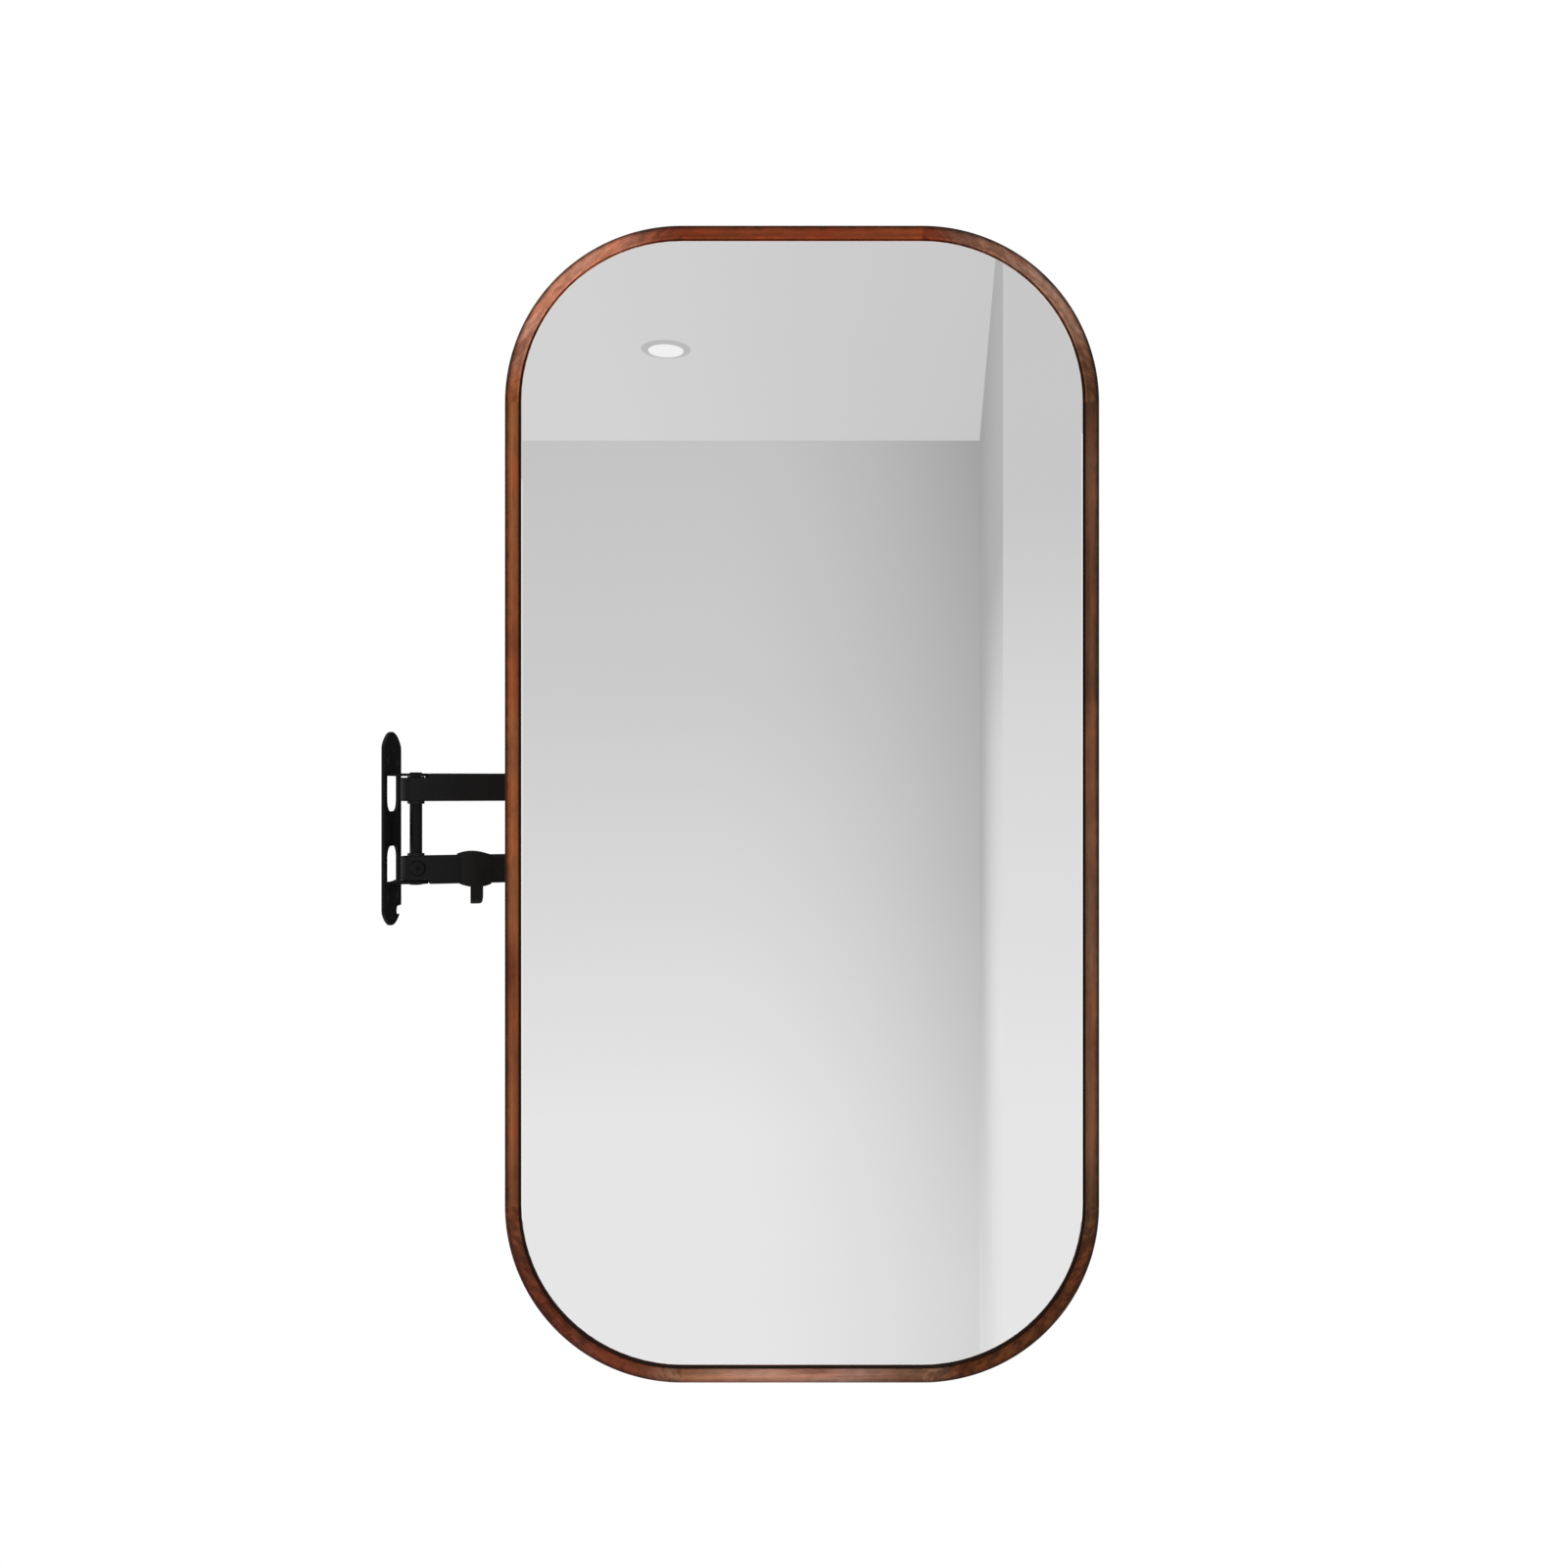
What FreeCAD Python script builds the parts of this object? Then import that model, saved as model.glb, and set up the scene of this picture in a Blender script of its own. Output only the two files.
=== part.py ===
import FreeCAD, Part
import math
import os
from FreeCAD import Vector

# Wall-mounted makeup mirror on a two-stage swing arm.
# Millimetres: +X points out of the wall, +Y away from the viewer, +Z up.
# The origin is the middle of the wall plate's back face, which lies on the wall.

# Clearances
SEAT_PLAY = 0.02
PIN_PLAY = 0.05
AXIAL_PLAY = 0.1
HOLE_PLAY = 0.3
BAND_PLAY = 0.1

# Mirror frame: four straight rails and four curved corner blocks of solid wood
FRAME_W = 410.0
FRAME_H = 798.0
FRAME_CORNER_R = 122.0
FRAME_DEPTH = 22.0
FRAME_FACE = 9.5
LEDGE_W = 12.0
FRONT_ROUND = 2.5
BACK_ROUND = 1.5
INNER_ARRIS = 0.6
DOWEL_R = 2.5
DOWEL_L = 24.0
DOWEL_INSET = 7.0
DOWEL_END_PLAY = 1.0

# Glass pane, the rubber strip round its edge, the tape under its rim and the pads behind it.
# The pane stands on the strip's thicker lower run, so it is lifted in the frame.
GLASS_T = 4.0
GLASS_LIFT = 1.0
GLASS_RECESS = 0.6
GLASS_BEVEL = 1.2
GASKET_W = 1.6
GASKET_DROP = 0.6
TAPE_T = 1.0
TAPE_INSET = 1.2
PAD_SIZE = 50.0
PAD_X = 110.0
PAD_Z = 230.0

# Plywood back panel, let into the frame and screwed to its ledge
PANEL_T = 8.5
PANEL_RECESS = 0.5
PANEL_MARGIN = 8.5
PANEL_PLAY = 0.2
PANEL_SCREW_R = 1.75
PANEL_SCREW_HEAD_R = 3.5
PANEL_SCREW_COVER = 1.9
PANEL_SCREW_END = 57.0
CROSS_L = 4.0
CROSS_W = 0.9
CROSS_DEPTH = 1.3

# Steel plate on the back panel, its bolts and the T-nuts that take them
MOUNT_EDGE = 12.0
MOUNT_T = 2.5
MOUNT_CORNER_R = 10.0
MOUNT_BOLT_PITCH = 100.0
MOUNT_BOLT_R = 2.5
MOUNT_BOLT_HEAD_R = 4.75
MOUNT_BOLT_HEAD_H = 2.7
MOUNT_BOLT_SOCKET = 3.0
T_NUT_R = 3.6
T_NUT_SHORT = 1.5
T_NUT_FLANGE_R = 8.5
T_NUT_FLANGE_T = 1.4
MIRROR_RISE = 19.0

# Tilt hinge between the mirror's lugs and the head's channel
SHEET_T = 2.5
BEND_SHARE = 0.85
LUG_CLEAR = 7.5
TILT_CLEAR = 8.0
CHANNEL_W = 33.0
CHANNEL_HALF_H = 15.0
LUG_HALF_H = 18.0
TILT_TIP_R = 9.0
FRICTION_WASHER_T = 1.0
FRICTION_WASHER_INSET = 0.5
TILT_BOLT_R = 3.0
TILT_BOLT_FLATS = 10.0
TILT_BOLT_HEAD_H = 4.0
TILT_NUT_H = 6.0
TILT_COLLAR_H = 1.8
TILT_COLLAR_R = 4.6
TILT_BOLT_SPARE = 1.5
LUG_RIVET_R = 2.0
LUG_RIVET_HEAD_R = 3.5
LUG_RIVET_X = 9.0
LUG_RIVET_Z = 11.0
RIVET_HEAD_T = 1.0
HEAD_CROWN = 0.65
SOCKET_DEPTH = 1.5

# Swivel yoke between the second arm and the tilt hinge
YOKE_HALF_W = 12.0
YOKE_CLEAR = 2.0
YOKE_RIVET_R = 2.5
YOKE_RIVET_HEAD_R = 4.5
YOKE_RIVET_Z = 8.0

# Arms: two bars one above the other, then one deep bar that folds in between them
FIRST_ARM_L = 160.0
FIRST_ARM_REST = 20.0
SECOND_ARM_L = 145.0
FIRST_BAR_T = 22.5
SECOND_BAR_T = 16.0
BAR_H = 20.5
BAR_GAP = 40.5
BAR_ROUND = 1.5
SLOT_L = 70.0
SLOT_H = 16.0
SLOT_CORNER_R = 7.0

# Upright pivots: riveted pins in flanged nylon bushes
PIN_R = 3.0
PIN_HEAD_RIM = 1.5
PIN_HEAD_H = 0.8
BUSH_WALL = 1.4
BUSH_SHORT = 4.0
BUSH_FLANGE_T = 2.0
BUSH_FLANGE_R = 6.2
POST_R = 4.55
EAR_WASHER_T = 1.0

# Screw that presses the lower bush onto the wall pin and so sets the swing's stiffness
TENSION_SCREW_R = 2.5
TENSION_HEAD_R = 5.5
TENSION_HEAD_H = 2.7
TENSION_SOCKET = 3.0
TENSION_SEAT = 1.7

# Moulded cable hook on the lower bar
CLIP_ALONG = 42.5
CLIP_W = 22.0
CLIP_WALL = 2.6
CLIP_END_WALL = 0.6
HOOK_W = 9.4
HOOK_TIP_W = 5.0
HOOK_R = 4.2
HOOK_DROP = 12.7
HOOK_LIP = 1.0
HOOK_CORNER_R = 2.5

# Wall plate with two windows, each with an ear bent out of its outer end, and a slot in its far edge
WALL_W = 50.0
WALL_H = 143.0
WALL_T = 2.0
WALL_CROWN = 11.0
WALL_CORNER_R = 6.0
WALL_EDGE_ROUND = 0.6
WALL_HOLE_R = 3.25
WALL_HOLE_EDGE = 11.0
WALL_HOLE_END = 21.5
WALL_SLOT_END = 10.0
PIVOT_OUT = 17.0
EAR_HALF_W = 9.0
EAR_SWING_PLAY = 4.8
EAR_ROOT_H = 4.0
WINDOW_HALF_W = 16.0
WINDOW_L = 26.0
WINDOW_CORNER_R = 9.0

# Places along the wall pivot's, the head's and the tilt bolt's axes
EYE_R = FIRST_BAR_T / 2
SECOND_EYE_R = SECOND_BAR_T / 2
YOKE_FRONT = SECOND_EYE_R + YOKE_CLEAR + RIVET_HEAD_T + SHEET_T
TILT_REACH = SHEET_T + RIVET_HEAD_T + LUG_CLEAR + TILT_TIP_R
TILT_TO_SWIVEL = YOKE_FRONT + SHEET_T + RIVET_HEAD_T + TILT_CLEAR + TILT_TIP_R

# Depths through the mirror, from its front plane
GLASS_BACK = GLASS_RECESS + GLASS_T
LEDGE_FRONT = GLASS_BACK + TAPE_T
PANEL_BACK = FRAME_DEPTH - PANEL_RECESS
PANEL_FRONT = PANEL_BACK - PANEL_T
MOUNT_BACK = PANEL_BACK + MOUNT_T
PANEL_SCREW_BITE = PANEL_FRONT - LEDGE_FRONT - PANEL_SCREW_COVER
TILT_DEPTH = MOUNT_BACK + TILT_REACH
SWIVEL_DEPTH = TILT_DEPTH + TILT_TO_SWIVEL

# Insets from the frame's outer edge
LEDGE_INSET = FRAME_FACE + LEDGE_W
GLASS_INSET = FRAME_FACE + GASKET_W
REBATE_INSET = LEDGE_INSET - PANEL_MARGIN
SCREW_INSET = LEDGE_INSET - PANEL_MARGIN / 2
STRAIGHT_X = FRAME_W / 2 - FRAME_CORNER_R
STRAIGHT_Z = FRAME_H / 2 - FRAME_CORNER_R

# Heights about the arm's middle
BAR_IN = BAR_GAP / 2
BAR_OUT = BAR_IN + BAR_H
EAR_IN = BAR_OUT - WALL_T
EYE_OUT = EAR_IN - EAR_WASHER_T - AXIAL_PLAY
SECOND_ARM_HALF = BAR_IN - BUSH_FLANGE_T - AXIAL_PLAY
POST_HALF = BAR_IN - BUSH_FLANGE_T
YOKE_OUT = BAR_IN + SHEET_T
BUSH_R = PIN_R + PIN_PLAY + BUSH_WALL
NOTCH_R = EAR_HALF_W + EAR_SWING_PLAY
EYE_MIDDLE = (BAR_IN + EYE_OUT) / 2

# Across the tilt hinge
LUG_IN = CHANNEL_W / 2 + FRICTION_WASHER_T + AXIAL_PLAY
LUG_OUT = LUG_IN + SHEET_T

# Pivot axes at rest. The second arm brings the head back level with the wall pivot.
WALL_PIVOT = Vector(WALL_T + PIVOT_OUT, 0, 0)
ELBOW_X = FIRST_ARM_L * math.cos(math.radians(FIRST_ARM_REST))
ELBOW_Y = FIRST_ARM_L * math.sin(math.radians(FIRST_ARM_REST))
ELBOW = WALL_PIVOT + Vector(ELBOW_X, ELBOW_Y, 0)
SECOND_ARM_REST = -math.degrees(math.asin(ELBOW_Y / SECOND_ARM_L))
HEAD_X = SECOND_ARM_L * math.cos(math.radians(SECOND_ARM_REST))
HEAD_PIVOT = Vector(ELBOW.x + HEAD_X, 0, 0)

X = Vector(1, 0, 0)
Y = Vector(0, 1, 0)
Z = Vector(0, 0, 1)
SAME = 1e-3


def box(x_range, y_range, z_range):
    """A block between three pairs of limits."""
    low = Vector(x_range[0], y_range[0], z_range[0])
    high = Vector(x_range[1], y_range[1], z_range[1])
    size = high - low
    return Part.makeBox(size.x, size.y, size.z, low)


def rod(radius, start, end):
    """A round bar from one point to another."""
    return Part.makeCylinder(radius, (end - start).Length, start, end - start)


def tube(outer_r, inner_r, start, end):
    """A round bar with a bore."""
    return rod(outer_r, start, end).cut(rod(inner_r, start, end))


def edges_in_plane(shape, normal, level):
    """The edges that lie flat in the plane at this level along an axis."""
    found = []
    for edge in shape.Edges:
        points = edge.discretize(5)
        if all(abs(point.dot(normal) - level) < SAME for point in points):
            found.append(edge)
    return found


def edges_along(shape, direction, touching):
    """The straight edges along an axis that pass the given test on their middle."""
    found = []
    for edge in shape.Edges:
        span = edge.Vertexes[-1].Point - edge.Vertexes[0].Point
        if span.Length < SAME or abs(abs(span.dot(direction)) - span.Length) > SAME:
            continue
        if touching(edge.CenterOfMass):
            found.append(edge)
    return found


def rounded_wire(width, height, corner_r, y):
    """A rounded rectangle in the XZ plane, centred on the Y axis."""
    in_x = width / 2 - corner_r
    in_z = height / 2 - corner_r
    corners = [(in_x, in_z), (-in_x, in_z), (-in_x, -in_z), (in_x, -in_z)]
    arcs = []
    for turn, (centre_x, centre_z) in enumerate(corners):
        points = []
        for part_turn in (0, 0.5, 1):
            angle = (turn + part_turn) * math.pi / 2
            reach_x = centre_x + corner_r * math.cos(angle)
            reach_z = centre_z + corner_r * math.sin(angle)
            points.append(Vector(reach_x, y, reach_z))
        arcs.append(points)
    edges = []
    for points, following in zip(arcs, arcs[1:] + arcs[:1]):
        edges.append(Part.Arc(*points).toShape())
        edges.append(Part.LineSegment(points[-1], following[0]).toShape())
    return Part.Wire(edges)


def slab(width, height, corner_r, y_range):
    """An upright plate with rounded corners."""
    wire = rounded_wire(width, height, corner_r, y_range[0])
    return Part.Face(wire).extrude(Y * (y_range[1] - y_range[0]))


def frame_slab(inset, y_range):
    """A plate with the frame's outline, drawn in by the inset."""
    return slab(FRAME_W - 2 * inset, FRAME_H - 2 * inset, FRAME_CORNER_R - inset, y_range)


def frame_ring(outer_inset, inner_inset, y_range):
    """A ring that follows the frame's outline between two insets."""
    return frame_slab(outer_inset, y_range).cut(frame_slab(inner_inset, y_range))


def tab(base_half, reach, tip_r, thickness):
    """A flat tab along +X that tapers from its base at X = 0 to a round tip about X = reach."""
    slant = math.hypot(reach, base_half)
    side = math.sqrt(slant ** 2 - tip_r ** 2)
    angle = math.asin(tip_r / slant) - math.atan2(base_half, reach)
    touch = Vector(side * math.cos(angle), base_half + side * math.sin(angle), 0)
    low_touch = Vector(touch.x, -touch.y, 0)
    top = Vector(0, base_half, 0)
    bottom = Vector(0, -base_half, 0)
    tip = Vector(reach + tip_r, 0, 0)
    edges = [
        Part.LineSegment(bottom, top).toShape(),
        Part.LineSegment(top, touch).toShape(),
        Part.Arc(touch, tip, low_touch).toShape(),
        Part.LineSegment(low_touch, bottom).toShape(),
    ]
    return Part.Face(Part.Wire(edges)).extrude(Z * thickness)


def lug(base_half, reach, tip_r, thickness, hole_r):
    """A tab with a pivot hole in its round tip."""
    centre = Vector(reach, 0, 0)
    return tab(base_half, reach, tip_r, thickness).cut(rod(hole_r, centre, centre + Z * thickness))


def link_bar(length, half_t, z_range):
    """A bar with round ends, from a pivot at the origin to one along +X."""
    corners = [Vector(0, half_t, z_range[0]), Vector(length, half_t, z_range[0])]
    corners += [Vector(length, -half_t, z_range[0]), Vector(0, -half_t, z_range[0])]
    far_end = Vector(length + half_t, 0, z_range[0])
    near_end = Vector(-half_t, 0, z_range[0])
    edges = [
        Part.LineSegment(corners[0], corners[1]).toShape(),
        Part.Arc(corners[1], far_end, corners[2]).toShape(),
        Part.LineSegment(corners[2], corners[3]).toShape(),
        Part.Arc(corners[3], near_end, corners[0]).toShape(),
    ]
    bar = Part.Face(Part.Wire(edges)).extrude(Z * (z_range[1] - z_range[0]))
    rims = edges_in_plane(bar, Z, z_range[0]) + edges_in_plane(bar, Z, z_range[1])
    return bar.makeFillet(BAR_ROUND, rims)


def hexagon(across_flats, height):
    """A six-sided prism along +Z."""
    corner_r = across_flats / math.sqrt(3)
    turns = [Vector(corner_r * math.cos(k * math.pi / 3), corner_r * math.sin(k * math.pi / 3), 0)
             for k in range(7)]
    return Part.Face(Part.makePolygon(turns)).extrude(Z * height)


def button_screw(shank_r, shank_l, head_r, head_h, socket):
    """A round-headed socket screw: head above Z = 0, shank below."""
    head = rod(head_r, Vector(), Z * head_h)
    head = head.makeFillet(head_h * HEAD_CROWN, edges_in_plane(head, Z, head_h))
    recess = hexagon(socket, SOCKET_DEPTH)
    recess.translate(Z * (head_h - SOCKET_DEPTH))
    return head.cut(recess).fuse(rod(shank_r, Z * -shank_l, Vector()))


def rivet(shank_r, head_r, head_t, grip, far_head):
    """A rivet along -Z through the grip: a low round head at Z = 0, and one at the far side if asked."""
    head = rod(head_r, Vector(), Z * head_t)
    head = head.makeFillet(head_t * HEAD_CROWN, edges_in_plane(head, Z, head_t))
    body = head.fuse(rod(shank_r, Z * -grip, Vector()))
    if far_head:
        body = body.fuse(rod(head_r, Z * -(grip + head_t), Z * -grip))
    return body


def aimed(shape, point, direction):
    """A copy with its +Z turned to a direction and its origin moved to a point."""
    placed = shape.copy()
    placed.Placement = FreeCAD.Placement(point, FreeCAD.Rotation(Z, direction))
    return placed


def laid(shape, point, x_axis, y_axis):
    """A copy with its X and Y axes turned to the given ones and its origin moved to a point."""
    z_axis = x_axis.cross(y_axis)
    matrix = FreeCAD.Matrix(x_axis.x, y_axis.x, z_axis.x, point.x,
                            x_axis.y, y_axis.y, z_axis.y, point.y,
                            x_axis.z, y_axis.z, z_axis.z, point.z,
                            0, 0, 0, 1)
    placed = shape.copy()
    placed.Placement = FreeCAD.Placement(matrix)
    return placed


def upside_down(shape):
    """The mirror image below the arm's middle plane."""
    return shape.mirror(Vector(), Z)


def on_arm(shape, pivot, angle):
    """A piece modelled along +X from its pivot, moved to its arm's rest position."""
    placed = shape.copy()
    placed.rotate(Vector(), Z, angle)
    placed.translate(pivot)
    return placed


def pin(half_l):
    """An upright pivot pin with a low riveted head at each end."""
    head = rod(PIN_R + PIN_HEAD_RIM, Z * half_l, Z * (half_l + PIN_HEAD_H))
    head = head.makeFillet(PIN_HEAD_H * HEAD_CROWN, edges_in_plane(head, Z, half_l + PIN_HEAD_H))
    return rod(PIN_R, Z * -half_l, Z * half_l).fuse([head, upside_down(head)])


def bush(face, length):
    """A flanged bush that points up, with its flange's upper face at the given height."""
    flange = rod(BUSH_FLANGE_R, Z * (face - BUSH_FLANGE_T), Z * face)
    barrel = rod(BUSH_R, Z * face, Z * (face + length))
    bore = rod(PIN_R + PIN_PLAY, Z * (face - BUSH_FLANGE_T), Z * (face + length))
    return flange.fuse(barrel).cut(bore)


def wall_plate():
    """Pressed steel plate: four screw holes, an edge slot, two windows with an ear bent out of each."""
    side = WALL_W / 2
    shoulder = WALL_H / 2 - WALL_CROWN
    corners = [Vector(0, side, -shoulder), Vector(0, side, shoulder)]
    corners += [Vector(0, -side, shoulder), Vector(0, -side, -shoulder)]
    edges = [
        Part.LineSegment(corners[0], corners[1]).toShape(),
        Part.Arc(corners[1], Z * (WALL_H / 2), corners[2]).toShape(),
        Part.LineSegment(corners[2], corners[3]).toShape(),
        Part.Arc(corners[3], Z * (-WALL_H / 2), corners[0]).toShape(),
    ]
    plate = Part.Face(Part.Wire(edges)).extrude(X * WALL_T)
    plate = plate.makeFillet(WALL_CORNER_R, edges_along(plate, X, lambda middle: True))
    plate = plate.makeFillet(WALL_EDGE_ROUND, edges_in_plane(plate, X, WALL_T))
    window = box((0, WALL_T), (-WINDOW_HALF_W, WINDOW_HALF_W), (EAR_IN - WINDOW_L, EAR_IN))
    inner_corners = edges_along(window, X, lambda middle: middle.z < EAR_IN - SAME)
    window = window.makeFillet(WINDOW_CORNER_R, inner_corners)
    root = box((0, WALL_T), (-EAR_HALF_W, EAR_HALF_W), (EAR_IN, EAR_IN + EAR_ROOT_H))
    ear = lug(EAR_HALF_W, WALL_T + PIVOT_OUT, EAR_HALF_W, WALL_T, PIN_R + SEAT_PLAY)
    ear.translate(Z * EAR_IN)
    ear = ear.fuse(root).removeSplitter()
    bends = edges_along(ear, Y, lambda middle: abs(middle.x) < SAME and abs(middle.z - EAR_IN) < SAME)
    ear = ear.makeFillet(WALL_T * BEND_SHARE, bends)
    plate = plate.cut([window, root, upside_down(window), upside_down(root)])
    plate = plate.fuse([ear, upside_down(ear)])
    hole_y = WALL_W / 2 - WALL_HOLE_EDGE
    hole_z = WALL_H / 2 - WALL_HOLE_END
    for side_y in (-hole_y, hole_y):
        for side_z in (-hole_z, hole_z):
            centre = Vector(0, side_y, side_z)
            plate = plate.cut(rod(WALL_HOLE_R, centre, centre + X * WALL_T))
    slot_z = WALL_SLOT_END - WALL_H / 2
    slot_end = Vector(0, hole_y, slot_z)
    slot = box((0, WALL_T), (hole_y, side), (slot_z - WALL_HOLE_R, slot_z + WALL_HOLE_R))
    plate = plate.cut([slot, rod(WALL_HOLE_R, slot_end, slot_end + X * WALL_T)])
    return plate.removeSplitter()


def wall_pivot_pin():
    """Steel pin riveted through both ears."""
    placed = pin(BAR_OUT)
    placed.translate(WALL_PIVOT)
    return placed


def first_arm_bar():
    """Upper bar of the first arm: notched under the ear at the wall, bored for its bush and pin."""
    bar = link_bar(FIRST_ARM_L, EYE_R, (BAR_IN, BAR_OUT))
    bar = bar.cut(rod(NOTCH_R, Z * EYE_OUT, Z * (BAR_OUT + BAR_ROUND)))
    bar = bar.cut(rod(BUSH_R + SEAT_PLAY, Z * BAR_IN, Z * EYE_OUT))
    elbow = X * FIRST_ARM_L
    return bar.cut(rod(PIN_R + SEAT_PLAY, elbow + Z * BAR_IN, elbow + Z * BAR_OUT))


def lower_bar():
    """Lower bar: the upper one turned over, with a flat seat and a hole for the tension screw."""
    bar = upside_down(first_arm_bar())
    middle = Z * -EYE_MIDDLE
    seat = Y * (TENSION_SEAT - EYE_R)
    bar = bar.cut(rod(TENSION_HEAD_R + HOLE_PLAY, middle + seat, middle - Y * (EYE_R + TENSION_SEAT)))
    return bar.cut(rod(TENSION_SCREW_R + SEAT_PLAY, middle, middle + seat))


def tension_screw():
    """Socket screw in the lower bar's eye, square to the wall pin."""
    seat = EYE_R - TENSION_SEAT
    shank_l = seat - BUSH_R - SEAT_PLAY
    screw = button_screw(TENSION_SCREW_R, shank_l, TENSION_HEAD_R, TENSION_HEAD_H, TENSION_SOCKET)
    return aimed(screw, Vector(0, -seat, -EYE_MIDDLE), -Y)


def post():
    """Tube round the wall pin that keeps the two bars apart."""
    return tube(POST_R, PIN_R + PIN_PLAY, Z * -POST_HALF, Z * POST_HALF)


def wall_bushes():
    """The two flanged bushes that the bars turn on at the wall."""
    upper = bush(BAR_IN, EYE_OUT - BAR_IN - BUSH_SHORT)
    return Part.makeCompound([upper, upside_down(upper)])


def ear_washers():
    """Thin nylon washers between each bar and the ear over it."""
    upper = tube(BUSH_FLANGE_R, PIN_R + PIN_PLAY, Z * EYE_OUT, Z * (EYE_OUT + EAR_WASHER_T))
    return Part.makeCompound([upper, upside_down(upper)])


def elbow_pin():
    """Pin riveted through the outer ends of the two bars."""
    placed = pin(BAR_OUT)
    placed.translate(X * FIRST_ARM_L)
    return placed


def swell(half_w, half_end, half_middle):
    """Profile along X, thin at both ends and swelling to its middle in an arc on each side."""
    corners = [Vector(-half_w, half_end, 0), Vector(half_w, half_end, 0)]
    corners += [Vector(half_w, -half_end, 0), Vector(-half_w, -half_end, 0)]
    edges = [
        Part.Arc(corners[0], Y * half_middle, corners[1]).toShape(),
        Part.LineSegment(corners[1], corners[2]).toShape(),
        Part.Arc(corners[2], Y * -half_middle, corners[3]).toShape(),
        Part.LineSegment(corners[3], corners[0]).toShape(),
    ]
    return Part.Face(Part.Wire(edges))


def hook_body(front, low):
    """Open hook under the band: a leg, a curl and a lip, narrowing to the lip."""
    outer_r = HOOK_R + CLIP_WALL
    curl_y = front + outer_r
    bottom = low - CLIP_WALL - HOOK_DROP
    curl_z = bottom + outer_r
    half_hook = HOOK_W / 2
    back = curl_y + outer_r
    leg = box((-half_hook, half_hook), (front, front + CLIP_WALL), (curl_z, low))
    curl = tube(outer_r, HOOK_R, Vector(-half_hook, curl_y, curl_z), Vector(half_hook, curl_y, curl_z))
    curl = curl.common(box((-half_hook, half_hook), (front, back), (bottom, curl_z)))
    lip_y = curl_y + HOOK_R
    tip_y = lip_y + CLIP_WALL / 2
    tip_z = curl_z + HOOK_LIP
    lip = box((-half_hook, half_hook), (lip_y, back), (curl_z, tip_z))
    tip = rod(CLIP_WALL / 2, Vector(-half_hook, tip_y, tip_z), Vector(half_hook, tip_y, tip_z))
    height = low - bottom + HOOK_CORNER_R
    outline = slab(HOOK_W, height, HOOK_CORNER_R, (front, back))
    outline.translate(Z * (bottom + height / 2))
    half_tip = HOOK_TIP_W / 2
    plan = [Vector(-half_hook, front, bottom), Vector(half_hook, front, bottom)]
    plan += [Vector(half_tip, back, bottom), Vector(-half_tip, back, bottom)]
    taper = Part.Face(Part.makePolygon(plan + plan[:1])).extrude(Z * height)
    return leg.fuse([curl, lip, tip]).common(outline).common(taper)


def cable_hook():
    """Moulded band round the lower bar, swelling in its middle, with an open hook below it."""
    wrap = EYE_R + BAND_PLAY
    half_h = BAR_H / 2 + BAND_PLAY
    half_w = CLIP_W / 2
    middle_z = -(BAR_IN + BAR_OUT) / 2
    across = swell(half_w, wrap + CLIP_END_WALL, wrap + CLIP_WALL)
    across = across.extrude(Z * (2 * (half_h + CLIP_WALL)))
    across.translate(Z * -(half_h + CLIP_WALL))
    upright = swell(half_w, half_h + CLIP_END_WALL, half_h + CLIP_WALL)
    upright = upright.extrude(Z * (2 * (wrap + CLIP_WALL)))
    upright.translate(Z * -(wrap + CLIP_WALL))
    upright.rotate(Vector(), X, 90)
    band = across.common(upright)
    band.translate(Z * middle_z)
    low = middle_z - half_h
    band = band.cut(box((-half_w, half_w), (-wrap, wrap), (low, middle_z + half_h)))
    clip = band.fuse(hook_body(-(wrap + CLIP_WALL), low)).removeSplitter()
    clip.translate(X * CLIP_ALONG)
    return clip


def second_arm():
    """Deep single bar with a lightening slot, bored at both ends for bushes."""
    half_h = SECOND_ARM_HALF
    bar = link_bar(SECOND_ARM_L, SECOND_EYE_R, (-half_h, half_h))
    for end in (Vector(), X * SECOND_ARM_L):
        bar = bar.cut(rod(BUSH_R + SEAT_PLAY, end - Z * half_h, end + Z * half_h))
    slot = slab(SLOT_L, SLOT_H, SLOT_CORNER_R, (-SECOND_EYE_R, SECOND_EYE_R))
    slot.translate(X * (SECOND_ARM_L / 2))
    return bar.cut(slot)


def second_arm_bushes(along):
    """A pair of flanged bushes in one end of the second arm."""
    lower = bush(-SECOND_ARM_HALF, SECOND_ARM_HALF - BUSH_SHORT)
    pair = Part.makeCompound([lower, upside_down(lower)])
    pair.translate(X * along)
    return pair


def swivel_yoke():
    """Bent steel bracket: a web with an ear over and an ear under the second arm's end."""
    web_y = (-YOKE_FRONT, SHEET_T - YOKE_FRONT)
    yoke = box((-YOKE_HALF_W, YOKE_HALF_W), web_y, (-YOKE_OUT, YOKE_OUT))
    ear = lug(YOKE_HALF_W, YOKE_FRONT, YOKE_HALF_W, SHEET_T, PIN_R + SEAT_PLAY)
    ear = laid(ear, Vector(0, -YOKE_FRONT, BAR_IN), Y, -X)
    yoke = yoke.fuse([ear, upside_down(ear)]).removeSplitter()
    for side in (-YOKE_RIVET_Z, YOKE_RIVET_Z):
        start = Vector(0, web_y[0], side)
        yoke = yoke.cut(rod(YOKE_RIVET_R + SEAT_PLAY, start, start + Y * SHEET_T))
    bends = edges_along(yoke, X, lambda middle: abs(middle.y + YOKE_FRONT) < SAME
                        and abs(abs(middle.z) - YOKE_OUT) < SAME)
    return yoke.makeFillet(SHEET_T * BEND_SHARE, bends)


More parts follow.
